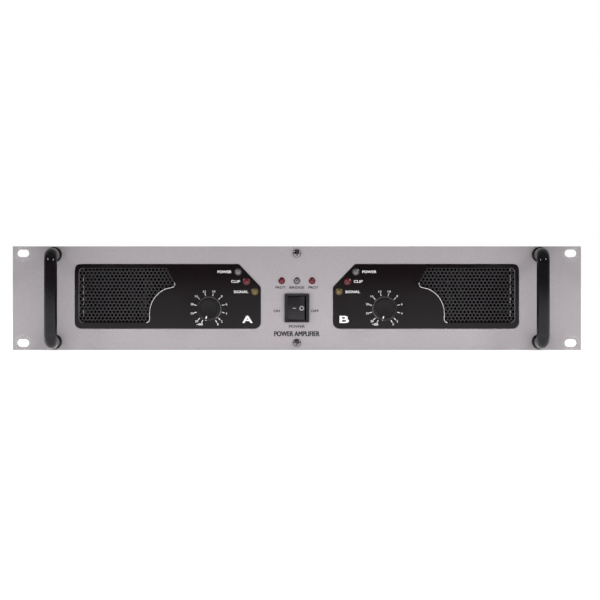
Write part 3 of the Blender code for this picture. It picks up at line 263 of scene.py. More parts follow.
def silver_paint():
    """Metallic paint: fine flake under a soft orange peel, rubbed round the rack slots."""
    f = Finish("silver_paint", metallic=0.25, specular=0.45)
    x, _, z = f.axes(f.place)
    flake = f.cells(2600, "Color")
    grain = f.noise(1300, 3)
    cloud = f.noise(7, 3)
    tone = flake * 0.45 + grain * 0.4 + cloud * 0.35 - 0.1
    paint = f.mix(tone, (0.274, 0.253, 0.268), (0.412, 0.382, 0.400))
    slot_across = PANEL_HIGH.x - SLOT_IN
    slot_up = (PANEL_HIGH.z - PANEL_LOW.z) / 2 - SLOT_DOWN
    reach = ((abs(x) - slot_across) ** 2 + (abs(z - MIDDLE_Z) - slot_up) ** 2) ** 0.5
    rub = (1 - reach.between(0.0066, 0.0080)) * f.noise(900, 4).between(0.50, 0.62)
    f.set(
        base=f.mix(rub * 0.5, paint, (0.60, 0.59, 0.60)),
        roughness=0.40 + flake * 0.12 + cloud * 0.06 - rub * 0.12,
    )
    return f.bumps(f.noise(420, 2) * 0.7 + grain * 0.3, 0.00003, 0.5)


def black_gloss():
    """The insets' smooth moulding, with handling smears and a faint dust."""
    f = Finish("black_gloss", specular=0.24)
    smear = f.noise(26, 4, (1, 1, 0.5)).between(0.45, 0.75)
    dust = f.cells(620).between(0.10, 0.03) * f.noise(60, 2).between(0.52, 0.7)
    f.set(
        base=f.mix(dust * 0.25, (0.0048, 0.0026, 0.0032), (0.09, 0.09, 0.09)),
        roughness=0.055 + smear * 0.10,
    )
    return f.bumps(f.noise(60, 2), 0.000002, 0.3)


def knob_rubber():
    """Soft black knob, shinier where fingers rub its rim."""
    f = Finish("knob_rubber", specular=0.3)
    x, y, _ = f.axes(f.place)
    radius = (x ** 2 + y ** 2) ** 0.5
    rubbed = radius.between(0.0078, 0.0096) * f.noise(500, 3).between(0.35, 0.6)
    grain = f.noise(3000, 3)
    f.set(
        base=f.mix(rubbed, (0.0036, 0.0027, 0.0031), (0.0072, 0.0058, 0.0065)),
        roughness=0.50 - rubbed * 0.14 + grain * 0.08,
    )
    return f.bumps(grain, 0.00003, 0.45)


def grille_steel():
    """Dark powder coat on the perforated sheet."""
    f = Finish("grille_steel", metallic=0.15, specular=0.4)
    grain = f.noise(1900, 3)
    cloud = f.noise(24, 3)
    f.set(
        base=f.mix(cloud * 0.7 + grain * 0.3, (0.0150, 0.0130, 0.0150), (0.0300, 0.0265, 0.0295)),
        roughness=0.42 + grain * 0.16,
    )
    return f.bumps(grain, 0.00003, 0.5)


def handle_black():
    """Satin stove enamel, worn smoother where a hand grips it."""
    f = Finish("handle_black", specular=0.27)
    _, _, z = f.axes(f.place)
    grip = (1 - abs(z - MIDDLE_Z).between(0.012, 0.034)) * f.noise(300, 3).between(0.3, 0.6)
    grain = f.noise(1100, 3)
    f.set(
        base=f.mix(f.noise(60, 3), (0.0035, 0.0026, 0.0036), (0.0065, 0.0052, 0.0066)),
        roughness=0.10 + grain * 0.07 - grip * 0.03,
    )
    return f.bumps(grain, 0.000035, 0.4)


def black_steel():
    """Fine-textured powder coat of the case, a little dusty on top and scuffed low on the sides."""
    f = Finish("black_steel", specular=0.38, metallic=0.05)
    _, _, z = f.axes(f.place)
    facing = f.axes(f.node("NewGeometry", {}, {}, "Normal"))[2]
    grain = f.cells(1500) * 0.6 + f.noise(900, 3) * 0.4
    dust = facing.between(0.6, 1.0) * f.noise(16, 5).between(0.35, 0.75)
    streaks = f.noise(34, 5, (0.15, 0.15, 3)).between(0.66, 0.74)
    scuff = streaks * (1 - z.between(0.0, 0.05))
    coat = f.mix(f.noise(12, 3), (0.0135, 0.0135, 0.0145), (0.024, 0.024, 0.0255))
    f.set(
        base=f.mix(dust * 0.18 + scuff * 0.12, coat, (0.17, 0.165, 0.155)),
        roughness=0.46 + grain * 0.2 + dust * 0.06,
    )
    return f.bumps(grain, 0.00011, 0.55)


def screw_steel():
    """Nickel-plated screw heads, turned marks round the middle, and painted shade that darkens the
    cross recess and the low rim of the head.
    """
    f = Finish("screw_steel", metallic=1.0)
    x, y, z = f.axes(f.place)
    radius = (x ** 2 + y ** 2) ** 0.5
    turned_marks = (radius * 14000).sine() * 0.5 + 0.5
    # painted shade: the colour darkens low on the head, in the cross recess and round the dome's
    # foot
    depth = z.between(0.0003, 0.0016)
    f.set(
        base=f.mix(depth, (0.05, 0.045, 0.05), (0.23, 0.205, 0.215)),
        roughness=0.12 + turned_marks * 0.04 + f.noise(800, 3) * 0.08,
    )
    return f.bumps(turned_marks + f.noise(1500, 2), 0.00001, 0.3)


def board_green():
    """Solder mask over copper runs, with tinned pads."""
    f = Finish("board_green", specular=0.5, coat=0.3, coat_roughness=0.2)
    runs = f.noise(90, 1, (1.0, 0.25, 1.0)).between(0.52, 0.54)
    pads = f.cells(330).between(0.22, 0.18)
    mask = f.mix(runs, (0.006, 0.052, 0.020), (0.014, 0.098, 0.036))
    f.set(
        base=f.mix(pads, mask, (0.62, 0.61, 0.58)),
        roughness=0.34 + f.noise(700, 2) * 0.14,
        metallic=pads * 0.9,
    )
    return f.bumps(runs * 0.5 + pads * 0.5, 0.00005, 0.7)


def winding_wrap():
    """Amber tape wound round the ring, turn over turn, with the copper showing through."""
    f = Finish("winding_wrap", specular=0.5, coat=0.6, coat_roughness=0.12)
    centre = middle("transformer")
    x, y, _ = f.axes(f.place)
    turn = (y - centre.y).angle_from(x - centre.x)
    lap = (turn * (64 / (2 * math.pi)) + f.noise(45, 2) * 0.25).fraction()
    wires = (turn * 420).sine() * 0.5 + 0.5
    tape = f.mix(lap, (0.40, 0.235, 0.030), (0.62, 0.42, 0.085))
    f.set(
        base=f.mix(wires * 0.35, tape, (0.33, 0.130, 0.035)),
        roughness=0.28 + lap * 0.12,
    )
    return f.bumps(lap * 0.7 + wires * 0.3, 0.00018, 0.6)


def capacitor_sleeve():
    """Shrunk dark blue sleeve with a pale stripe for the negative lead, open over the metal top."""
    f = Finish("capacitor_sleeve", specular=0.5)
    x, y, z = f.axes(f.place)
    side = y.angle_from(x)
    stripe = 1 - abs(side).between(0.30, 0.33)
    dashes = (z * 120).fraction().between(0.60, 0.58) * (1 - abs(side).between(0.07, 0.09))
    radius = (x ** 2 + y ** 2) ** 0.5
    top = z.between(0.0490, 0.0492) * (1 - radius.between(0.0150, 0.0152))
    sleeve = f.mix(stripe, (0.008, 0.013, 0.045), (0.42, 0.43, 0.45))
    marked = f.mix(stripe * dashes, sleeve, (0.010, 0.015, 0.045))
    f.set(
        base=f.mix(top, marked, (0.62, 0.62, 0.61)),
        metallic=top,
        roughness=0.26 + f.noise(200, 3) * 0.14,
    )
    return f.bumps(f.noise(120, 2), 0.0001, 0.3)


def lens(name, deep, pale):
    """Tinted epoxy: the cup inside shows as a paler ring round a dark middle."""
    f = Finish(name, specular=0.45, coat=0.4, coat_roughness=0.08)
    x, y, _ = f.axes(f.place)
    radius = (x ** 2 + y ** 2) ** 0.5
    cup = radius.between(0.0005, 0.0011) * (1 - radius.between(0.0015, 0.0021))
    f.set(
        base=f.mix(cup * (0.6 + f.noise(900, 2) * 0.5), deep, pale),
        roughness=0.16 + f.noise(500, 2) * 0.1,
    )
    return f.bumps(f.noise(700, 2), 0.00001, 0.2)


def ink(name, colour, worn):
    """Screen-printed legend, slightly uneven; the same make also gives the grey of a painted edge
    highlight.
    """
    f = Finish(name, specular=0.3)
    cover = f.noise(1600, 3)
    f.set(base=f.mix(cover.between(0.3, 0.7), worn, colour), roughness=0.42 + cover * 0.15)
    return f.bumps(cover, 0.00001, 0.4)


def rocker_plastic():
    """Satin black plastic with faint finger ribs across the face."""
    f = Finish("rocker_plastic", specular=0.35)
    _, _, z = f.axes(f.place)
    ribs = (z * (2 * math.pi / 0.0021)).sine().between(0.2, 0.9)
    grain = f.noise(1700, 3)
    f.set(
        base=f.mix(ribs * 0.6 + grain * 0.4, (0.0065, 0.0050, 0.0062), (0.0130, 0.0110, 0.0130)),
        roughness=0.30 + grain * 0.12,
    )
    return f.bumps(ribs * 0.7 + grain * 0.3, 0.00005, 0.5)


DRAW_LINES = (1400, 3, (1, 0.01, 1))  # left by the die on an extrusion, front to back

FINISHES = {
    "silver": silver_paint(),
    "gloss": black_gloss(),
    "moulding": grained(
        "black_moulding", (0.0070, 0.0056, 0.0066), (0.0140, 0.0118, 0.0134),
        cloud=(40, 3), grain=(2400, 3), roughness=(0.40, 0.14), relief=(0.00004, 0.5),
        specular=0.32,
    ),
    "knob": knob_rubber(),
    "grille": grille_steel(),
    "handle": handle_black(),
    "case": black_steel(),
    "zinc": grained(
        "plated_steel", (0.60, 0.61, 0.63), (0.72, 0.70, 0.66),
        cloud=(90, 3), grain=(900, 3, (1, 1, 6)), roughness=(0.20, 0.18), relief=(0.00001, 0.4),
        metallic=1.0,
    ),
    "screw": screw_steel(),
    "trim": grained(
        "bright_trim", (0.78, 0.78, 0.80), (0.93, 0.92, 0.92),
        cloud=(300, 3), grain=(300, 3), roughness=(0.16, 0.16), relief=(0.00002, 0.3), metallic=1.0,
    ),
    "aluminium": grained(
        "bare_aluminium", (0.50, 0.51, 0.52), (0.62, 0.62, 0.62),
        cloud=(20, 3), grain=DRAW_LINES, roughness=(0.32, 0.2), relief=(0.00003, 0.5), metallic=1.0,
    ),
    "anodised": grained(
        "black_anodising", (0.0015, 0.0015, 0.0016), (0.0050, 0.0050, 0.0053),
        cloud=DRAW_LINES, grain=DRAW_LINES, roughness=(0.38, 0.2), relief=(0.00003, 0.5),
        specular=0.15,
    ),
    "board": board_green(),
    "winding": winding_wrap(),
    "sleeve": capacitor_sleeve(),
    "clear": lens("clear_lens", (0.055, 0.053, 0.056), (0.20, 0.195, 0.20)),
    "red": lens("red_lens", (0.085, 0.002, 0.008), (0.12, 0.004, 0.015)),
    "yellow": lens("yellow_lens", (0.09, 0.060, 0.011), (0.145, 0.105, 0.027)),
    "white ink": ink("white_ink", (0.80, 0.80, 0.80), (0.62, 0.62, 0.62)),
    # painted highlight: grey for the lit outer wall of each grille opening, not a print
    "painted edge highlight": ink("painted_edge_highlight", (0.22, 0.22, 0.225), (0.14, 0.14, 0.145)),
    "mark ink": ink("mark_ink", (0.46, 0.45, 0.46), (0.34, 0.34, 0.35)),
    "dark ink": ink("dark_ink", (0.008, 0.007, 0.010), (0.020, 0.018, 0.023)),
    "socket": grained(
        "socket_face", (0.011, 0.011, 0.012), (0.022, 0.022, 0.0235),
        cloud=(80, 3), grain=(1500, 3), roughness=(0.33, 0.15), relief=(0.00003, 0.4),
        specular=0.42,
    ),
    "rocker": rocker_plastic(),
    # painted shade: near-black for thin discs that stand for the dark inside of the jacks' contact
    # holes
    "hole": grained(
        "painted_hole_shade", (0.002, 0.002, 0.002), (0.006, 0.006, 0.006),
        cloud=(900, 2), grain=(900, 2), roughness=(0.8, 0), relief=(0.00001, 0.2), specular=0.1,
    ),
    "floor": grained(
        "pale_floor", (0.86, 0.86, 0.86), (0.89, 0.89, 0.89),
        cloud=(1.5, 3), grain=(260, 3), roughness=(0.75, 0), relief=(0.0001, 0.15),
        specular=0.2, emission=(1.0, 1.0, 1.0), glow=0.80,
    ),
}


# ---- shapes ----


def turned(profile, steps):
    """(radius, height) points turned round +Z."""
    bm = bmesh.new()
    verts = [bm.verts.new((radius, 0, height)) for radius, height in profile]
    edges = [bm.edges.new(pair) for pair in zip(verts, verts[1:])]
    sweep = {"axis": (0, 0, 1), "angle": 2 * math.pi, "steps": steps, "use_merge": True}
    bmesh.ops.spin(bm, geom=verts + edges, **sweep)
    return tidied(bm)


def tidied(bm):
    bmesh.ops.remove_doubles(bm, verts=bm.verts, dist=1e-7)
    bmesh.ops.dissolve_degenerate(bm, edges=bm.edges, dist=1e-7)
    bmesh.ops.recalc_face_normals(bm, faces=bm.faces)
    return bm


def taken(obj):
    """The mesh of an object as a shape."""
    mesh = bpy.data.meshes.new_from_object(obj)
    bm = bmesh.new()
    bm.from_mesh(mesh)
    bpy.data.meshes.remove(mesh)
    return bm


def drawn(curve):
    """A curve or text as a shape of its own, its caps joined on."""
    obj = bpy.data.objects.new("drawing", curve)
    bm = taken(obj)
    bpy.data.objects.remove(obj)
    return tidied(bm)


def put(name, data):
    """A new object in the scene."""
    obj = bpy.data.objects.new(name, data)
    scene.collection.objects.link(obj)
    return obj


def solid(name, bm):
    """A new object made of a shape."""
    mesh = bpy.data.meshes.new(name)
    bm.to_mesh(mesh)
    bm.free()
    return put(name, mesh)


def add_spline(curve, points, closed):
    spline = curve.splines.new("POLY")
    spline.points.add(len(points) - 1)
    for point, place in zip(spline.points, points):
        point.co = (*place, *[0.0] * (3 - len(place)), 1.0)
    spline.use_cyclic_u = closed


def flat(loops, thickness):
    """Filled outlines in XY; an outline inside another is a hole. The back lies at height 0."""
    curve = bpy.data.curves.new("outline", "CURVE")
    curve.dimensions = "2D"
    curve.fill_mode = "BOTH"
    curve.extrude = thickness / 2
    for loop in loops:
        add_spline(curve, loop, True)
    return moved(drawn(curve), Matrix.Translation((0, 0, thickness / 2)))


def bar(points, radius, closed=False, roundness=3):
    """A round bar along points."""
    curve = bpy.data.curves.new("bar", "CURVE")
    curve.dimensions = "3D"
    curve.fill_mode = "FULL"
    curve.bevel_depth = radius
    curve.bevel_resolution = roundness
    curve.use_fill_caps = not closed
    add_spline(curve, points, closed)
    return drawn(curve)


def letters(words, width, height, heavy):
    """Printed words that fill a box, centred on the origin, with their back at height 0.

    Five copies set apart by heavy thicken the strokes, each a hair higher than the last so that
    no two faces lie in one plane.
    """
    shapes = []
    for k, (dx, dy) in enumerate(((0, 0), (-1, -0.5), (1, -0.5), (-1, 0.5), (1, 0.5))):
        copy = drawn_words(words, width - 2 * heavy, height - heavy)
        shapes.append(at(copy, heavy * dx, heavy * dy, 0.000006 * k))
    return gathered(shapes)


def drawn_words(words, width, height):
    """One copy, in the thin strokes of the built-in face."""
    curve = bpy.data.curves.new("words", "FONT")
    curve.body = words
    curve.extrude = INK / 2
    bm = drawn(curve)
    low, high = extent(bm)
    scale = Matrix.Diagonal((width / (high.x - low.x), height / (high.y - low.y), 1, 1))
    centred = Matrix.Translation((-(low.x + high.x) / 2, -(low.y + high.y) / 2, INK / 2))
    return moved(bm, scale @ centred)


def extent(bm):
    corners = [[pick(v.co[axis] for v in bm.verts) for axis in range(3)] for pick in (min, max)]
    return Vector(corners[0]), Vector(corners[1])


def moved(bm, matrix):
    bmesh.ops.transform(bm, matrix=matrix, verts=bm.verts)
    return bm


def at(bm, x, y, z=0.0):
    return moved(bm, Matrix.Translation((x, y, z)))


def gathered(shapes):
    """Several shapes as one."""
    whole = bmesh.new()
    for shape in shapes:
        mesh = bpy.data.meshes.new("share")
        shape.to_mesh(mesh)
        shape.free()
        whole.from_mesh(mesh)
        bpy.data.meshes.remove(mesh)
    return whole


def rounded_block(width, height, depth, edge, steps=2):
    """A block with rounded edges, its middle at the origin."""
    bm = bmesh.new()
    bmesh.ops.create_cube(bm, size=1, matrix=Matrix.Diagonal((width, height, depth, 1)))
    bmesh.ops.bevel(bm, geom=bm.edges, offset=edge, segments=steps, profile=0.5, affect="EDGES")
    return bm


def blocks_round(turns, lengths, edge, out, up):
    """Like blocks at several turns round +Z."""
    block = (*lengths, edge, 1)
    return [moved(at(rounded_block(*block), out, 0, up), about_z(turn)) for turn in turns]


def skin(rows, closed=False):
    """Faces between neighbouring rows of points, and the rows of corners."""
    bm = bmesh.new()
    rows = [[bm.verts.new(point) for point in row] for row in rows]
    for lower, upper in zip(rows, rows[1:]):
        for k in range(len(lower) if closed else len(lower) - 1):
            n = (k + 1) % len(lower)
            bm.faces.new((lower[k], lower[n], upper[n], upper[k]))
    return bm, rows


def cut_away(shape, *cutters):
    """The shape without the room that the cutters take up."""
    made = [solid("cut", bm) for bm in (shape, *cutters)]
    for cutter in made[1:]:
        made[0].modifiers.new("cut", "BOOLEAN").object = cutter
    bpy.context.view_layer.update()
    bm = taken(made[0].evaluated_get(bpy.context.evaluated_depsgraph_get()))
    for obj in made:
        bpy.data.objects.remove(obj)
    return bm


def polar(radius, degrees):
    """The point at a radius and an angle, anticlockwise from the right."""
    angle = math.radians(degrees)
    return radius * math.cos(angle), radius * math.sin(angle)


def arc(radius, start, end, count, centre=(0.0, 0.0)):
    """count + 1 points from start to end, in degrees."""
    points = [polar(radius, start + (end - start) * k / count) for k in range(count + 1)]
    return [(centre[0] + x, centre[1] + y) for x, y in points]


def circle(radius, count, centre=(0.0, 0.0)):
    return arc(radius, 0, 360, count, centre)[:-1]


def ring_part(inner, outer, start, end, count):
    return arc(outer, start, end, count) + arc(inner, end, start, count)


def rectangle(width, height):
    return [(sx * width / 2, sy * height / 2) for sx, sy in ((-1, -1), (1, -1), (1, 1), (-1, 1))]


def rounded_rectangle(width, height, radius):
    outline = []
    for k, (sx, sy) in enumerate(((1, 1), (-1, 1), (-1, -1), (1, -1))):
        centre = (sx * (width / 2 - radius), sy * (height / 2 - radius))
        outline += arc(radius, 90 * k, 90 * k + 90, 4, centre)
    return outline


def piece(name, bm, finish, aim=UP, place=(0, 0, 0), body="case", stands_for=()):
    """Makes an object of a shape, turned and put in its place, that rides on a body."""
    obj = solid(name, bm)
    obj.data.materials.append(FINISHES[finish].material)
    obj.data.shade_smooth()
    obj.data.set_sharp_from_angle(angle=math.radians(35))
    obj.matrix_world = Matrix.Translation(place) @ aim
    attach(obj, body)
    if stands_for:
        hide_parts(*stands_for)


def dress(finish, *names, edge=0.0):
    """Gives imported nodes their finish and, where edge is set, softened edges."""
    for name in names:
        obj = nodes[name]
        for slot in obj.material_slots:
            slot.material = FINISHES[finish].material
        if edge:
            weld = obj.modifiers.new("weld", "WELD")
            weld.merge_threshold = 1e-6
            bevel = obj.modifiers.new("edge", "BEVEL")
            bevel.width = edge
            bevel.segments = 2
            bevel.limit_method = "ANGLE"
            bevel.angle_limit = math.radians(40)


def front_loops(node):
    """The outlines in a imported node's front face, largest first, as (across, up) points."""
    mesh = nodes[node].data
    front = min(v.co.y for v in mesh.vertices)
    spot = {v.index: (round(v.co.x, 6), round(v.co.z, 6)) for v in mesh.vertices}
    steps = set()
    for face in mesh.polygons:
        if all(abs(mesh.vertices[i].co.y - front) < 1e-5 for i in face.vertices):
            corners = [spot[i] for i in face.vertices]
            steps |= set(zip(corners, corners[1:] + corners[:1]))
    border = {a: b for a, b in steps if (b, a) not in steps}
    loops = []
    while border:
        loop = [min(border)]
        while loop[-1] in border:
            loop.append(border.pop(loop[-1]))
        loops.append([(x, z - MIDDLE_Z) for x, z in loop[:-1]])
    return sorted(loops, key=lambda loop: -abs(enclosed(loop)))


def enclosed(loop):
    return sum(x0 * y1 - x1 * y0 for (x0, y0), (x1, y1) in zip(loop, loop[1:] + loop[:1])) / 2


def clearance(point, loop):
    """Distance from a point to an outline, negative outside it."""
    x, y = point
    nearest, inside = 1.0, False
    for (x0, y0), (x1, y1) in zip(loop, loop[1:] + loop[:1]):
        dx, dy = x1 - x0, y1 - y0
        share = max(0.0, min(1.0, ((x - x0) * dx + (y - y0) * dy) / (dx * dx + dy * dy)))
        nearest = min(nearest, math.hypot(x - x0 - share * dx, y - y0 - share * dy))
        if (y0 > y) != (y1 > y) and x < x0 + (y - y0) / (y1 - y0) * dx:
            inside = not inside
    return nearest if inside else -nearest


# ---- screws ----


def screw_head(radius, height):
    """A domed pan head with a cross recess, its seat at height 0."""
    dome = [(radius * x, height * (0.28 + 0.72 * y)) for x, y in arc(1, 90, 0, 10)]
    head = turned([*dome, (radius, 0), (0, 0)], 40)
    wing, reach, depth = radius * 0.26, radius * 1.15, height * 0.62
    cutters = blocks_round((0, 90), (reach, wing, 2 * depth), wing * 0.12, 0, height)
    cone = [(0, depth), (radius * 0.30, depth), (radius * 0.16, -depth), (0, -depth)]
    cutters.append(at(turned(cone, 24), 0, 0, height))
    return cut_away(head, *cutters)


def screws(name, places, radius, height, aim, place):
    """A set of like screws as one piece, each turned a little differently."""
    shapes = []
    for k, (x, y) in enumerate(places):
        shapes.append(at(moved(screw_head(radius, height), about_z(37 * k + 12)), x, y))
    piece(name, gathered(shapes), "screw", aim, place)


# ---- front panel ----

TRIM_RADIUS = 0.00036
HOLE_RADIUS = 0.00118
HOLE_PITCH = 0.003175
HOLE_ROW = HOLE_PITCH * math.sin(math.radians(60))


def panel_and_insets():
    dress("silver", "front_panel", edge=0.00025)
    dress("gloss", "inset_left", "inset_right", edge=0.0002)


def perforated_grille(name):
    """The sheet behind the opening, punched all over in staggered rows."""
    outline = front_loops(f"grille_{name}")[0]
    left, right = min(x for x, _ in outline), max(x for x, _ in outline)
    bottom, top = min(y for _, y in outline), max(y for _, y in outline)
    holes = []
    for row in range(int((top - bottom) / HOLE_ROW) + 1):
        y = bottom + (row + 0.4) * HOLE_ROW
        for column in range(int((right - left) / HOLE_PITCH) + 1):
            x = left + (column + 0.25 + 0.5 * (row % 2)) * HOLE_PITCH
            if clearance((x, y), outline) > HOLE_RADIUS + 0.0004:
                holes.append(circle(HOLE_RADIUS, 12, (x, y)))
    node = f"grille_{name}"
    low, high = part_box(node)
    sheet = flat([outline, *holes], high.y - low.y)
    place = (0, high.y, MIDDLE_Z)
    piece(f"perforated_{node}", sheet, "grille", FRONT, place, stands_for=[node])


def opening_trim(name):
    """A bright bead along the swept edge of the opening, and down its outer edge a thin grey bead
    that is a painted highlight for the lit wall of the opening.
    """
    opening = front_loops(f"inset_{name}")[1]
    bead_end, bead_top = 0.1287, 0.0138  # the swept edge lies inward of the one, below the other
    outer_edge = max(abs(x) for x, _ in opening)
    rise = TRIM_RADIUS * 0.35
    for kind, finish, wanted, radius in (
        ("bright", "trim", lambda x, y: abs(x) < bead_end and y < bead_top, TRIM_RADIUS),
        # painted highlight: this grey bead stands for the light caught by the opening's outer wall
        ("outer", "painted edge highlight", lambda x, y: abs(x) > outer_edge - 0.0037, TRIM_RADIUS * 0.55),
    ):
        bead = bar([(x, y, rise) for x, y in longest_run(opening, wanted)], radius)
        piece(f"{kind}_trim_{name}", bead, finish, FRONT, ON_INSET)


def longest_run(loop, wanted):
    """The longest stretch of neighbouring points that are wanted."""
    keep = [wanted(*point) for point in loop]
    start = next(k for k in range(len(loop)) if keep[k] and not keep[k - 1])
    runs, run = [], []
    for point in loop[start:] + loop[:start]:
        if wanted(*point):
            run.append(point)
        else:
            runs.append(run)
            run = []
    return max([*runs, run], key=len)


def rack_handle(name):
    """A bent round bar between two turned ferrules."""
    low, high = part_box(f"handle_{name}")
    ferrule = (high.x - low.x) / 2
    bar_radius, bend, skirt = 0.00557, 0.0079, 0.0030
    bottom, top = low.z + ferrule, high.z - ferrule
    front, foot = low.y + bar_radius + 0.00003, high.y
    x = (low.x + high.x) / 2
    path = [(x, foot - 0.0005, bottom)]
    path += [(x, y, z) for y, z in arc(bend, 270, 180, 12, (front + bend, bottom + bend))]
    path += [(x, y, z) for y, z in arc(bend, 180, 90, 12, (front + bend, top - bend))]
    path += [(x, foot - 0.0005, top)]
    shapes = [bar(path, bar_radius, roundness=10)]
    for z in (bottom, top):
        profile = [
            (0, skirt),
            (bar_radius - 0.0002, skirt),
            *arc(0.0006, 90, 0, 4, (ferrule - 0.0006, skirt - 0.0006)),
            *arc(0.0003, 0, -90, 3, (ferrule - 0.0003, 0.0003)),
            (0, 0),
        ]
        shapes.append(moved(turned(profile, 48), Matrix.Translation((x, foot, z)) @ FRONT))
    node = f"handle_{name}"
    piece(f"rack_{node}", gathered(shapes), "handle", stands_for=[node])


def panel_screws():
    for name in ("top", "bottom"):
        low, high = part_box(f"panel_screw_{name}")
        radius = (high.x - low.x) / 2
        shape = gathered([screw_head(radius, 0.0022), shank(0.0018, 0.0080)])
        turn = FRONT @ about_z(8 if name == "top" else -14)
        place = ((low.x + high.x) / 2, low.y + 0.0022, (low.z + high.z) / 2)
        piece(f"cross_screw_{name}", shape, "screw", turn, place,
              stands_for=[f"panel_screw_{name}"])


def shank(radius, length):
    """A threaded shank that hangs below height 0."""
    pitch = 0.0006
    profile = [(0, 0), (radius, 0)]
    for k in range(int(length / pitch)):
        top = -0.0004 - k * pitch
        profile += [(radius, top), (radius * 0.86, top - pitch / 2)]
    profile += [(radius * 0.8, -length), (0, -length)]
    return turned(profile, 16)


# ---- controls ----

REST_ANGLE = 256  # a knob's pointer at its lowest setting, anticlockwise from the right


def level_knob(channel):
    """A fluted soft knob with a dished top and a white pointer, which turns."""
    node = f"level_knob_{channel}"
    radius, height = round_size(node)
    flutes, points = 26, 8
    edge = arc(0.0016, 0, 90, 5, (radius - 0.0016, height - 0.0016))
    section = [  # radius, height and depth of fluting
        (0.0035, 0.0, 0),
        (radius - 0.0004, 0.0, 0),
        (radius, 0.0004, 0),
        (radius, 0.0016, 0),
        (radius - 0.0002, 0.0024, 1),
        *[(r, z, 1 - k / 5) for k, (r, z) in enumerate(edge)],
        (radius - 0.0026, height, 0),
        (radius - 0.0031, height - 0.0005, 0),
        (0.0030, height - 0.0008, 0),
    ]
    count = flutes * points
    rings = []
    for r, z, flute in section:
        ring = []
        for angle in (2 * math.pi * k / count for k in range(count)):
            r_here = r - 0.00055 * flute * (0.5 - 0.5 * math.cos(flutes * angle)) ** 2
            ring.append((r_here * math.cos(angle), r_here * math.sin(angle), z))
        rings.append(ring)
    bm, rings = skin(rings, closed=True)
    bm.faces.new(rings[-1])
    bm.faces.new(rings[0][::-1])
    place = (middle(node).x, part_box(node)[1].y, middle(node).z)
    body = f"level_{channel}"
    piece(f"fluted_knob_{channel}", bm, "knob", FRONT, place, body, [node])
    turn = FRONT @ about_z(REST_ANGLE)
    along = radius - 0.0032
    ridge = at(rounded_block(along, 0.0016, 0.0009, 0.0003), along / 2, 0, height - 0.00085)
    piece(f"pointer_ridge_{channel}", ridge, "knob", turn, place, body)
    mark = [
        at(rounded_block(0.0021, 0.0010, 0.0003, 0.0001, 1), radius - 0.0025, 0, height - 0.00010),
        at(rounded_block(0.0004, 0.0010, 0.0042, 0.0001, 1), radius - 0.00012, 0, height - 0.0042),
    ]
    piece(f"pointer_{channel}", gathered(mark), "white ink", turn, place, body)


def level_dial(channel):
    """Arc, ticks and numbers printed round the knob."""
    place = (middle(f"level_knob_{channel}").x, INSET_Y, middle(f"level_knob_{channel}").z)
    arc_radius, line = 0.00990, 0.00050
    ring = flat([ring_part(arc_radius - line / 2, arc_radius + line / 2, -57, 237, 72)], INK)
    piece(f"level_arc_{channel}", ring, "mark ink", FRONT, place)
    shapes = []
    numbers = ("30", "24", "20", "16", "12", "10", "8", "6", "4", "2")
    marks = [(225 - 30 * k, words) for k, words in enumerate(numbers)] + [(-61, "0"), (241, "")]
    for angle, words in marks:
        tick = at(flat([rectangle(0.0024, 0.00065)], INK), 0.0123, 0)
        shapes.append(moved(tick, about_z(angle)))
        x, y = polar(0.0151, angle)
        if words:
            shapes.append(at(letters(words, 0.00125 * len(words), 0.00175, 0.00004), x, y))
            continue
        for dx in (-0.0009, 0.0009):  # the lowest setting's sign: two joined loops and a dash
            loop = [circle(outer, 20, (dx, 0)) for outer in (0.00095, 0.00045)]
            shapes.append(at(flat(loop, INK), x, y))
        shapes.append(at(flat([rectangle(0.0013, 0.0004)], INK), x - 0.0027, y))
    piece(f"level_dial_{channel}", gathered(shapes), "white ink", FRONT, place)


def legends():
    """Words on the insets and the panel, all plain functions of the control beside them."""
    white = []
    for side in (-1, 1):
        for words, inner_end, up, width in (
            ("POWER", 0.0556, 0.0224, 0.0118),
            ("CLIP", 0.0483, 0.0142, 0.0075),
            ("SIGNAL", 0.0412, 0.0054, 0.0124),
        ):
            start = side * (inner_end + width / 2)
            white.append(at(letters(words, width, 0.0022, 0.00007), start, up))
    white.append(at(letters("A", 0.0086, 0.0061, 0.00030), -0.0420, -0.0180))
    white.append(at(letters("B", 0.0080, 0.0061, 0.00030), 0.0402, -0.0180))
    piece("inset_legends", gathered(white), "white ink", FRONT, ON_INSET)
    dark = []
    for words, across, up, width, height in (
        ("PROT", -0.0140, 0.0091, 0.0086, 0.0020),
        ("BRIDGE", 0.0, 0.0091, 0.0128, 0.0020),
        ("PROT", 0.0140, 0.0091, 0.0086, 0.0020),
        ("ON", -0.0172, -0.0108, 0.0052, 0.0021),
        ("OFF", 0.0154, -0.0108, 0.0064, 0.0021),
        ("POWER", 0.0, -0.0240, 0.0136, 0.0021),
    ):
        dark.append(at(letters(words, width, height, 0.00010), across, up))
    dark.append(at(letters("POWER AMPLIFIER", 0.0387, 0.0043, 0.00022), 0, -0.0302))
    piece("panel_legends", gathered(dark), "dark ink", FRONT, (0, FACE_Y, MIDDLE_Z))


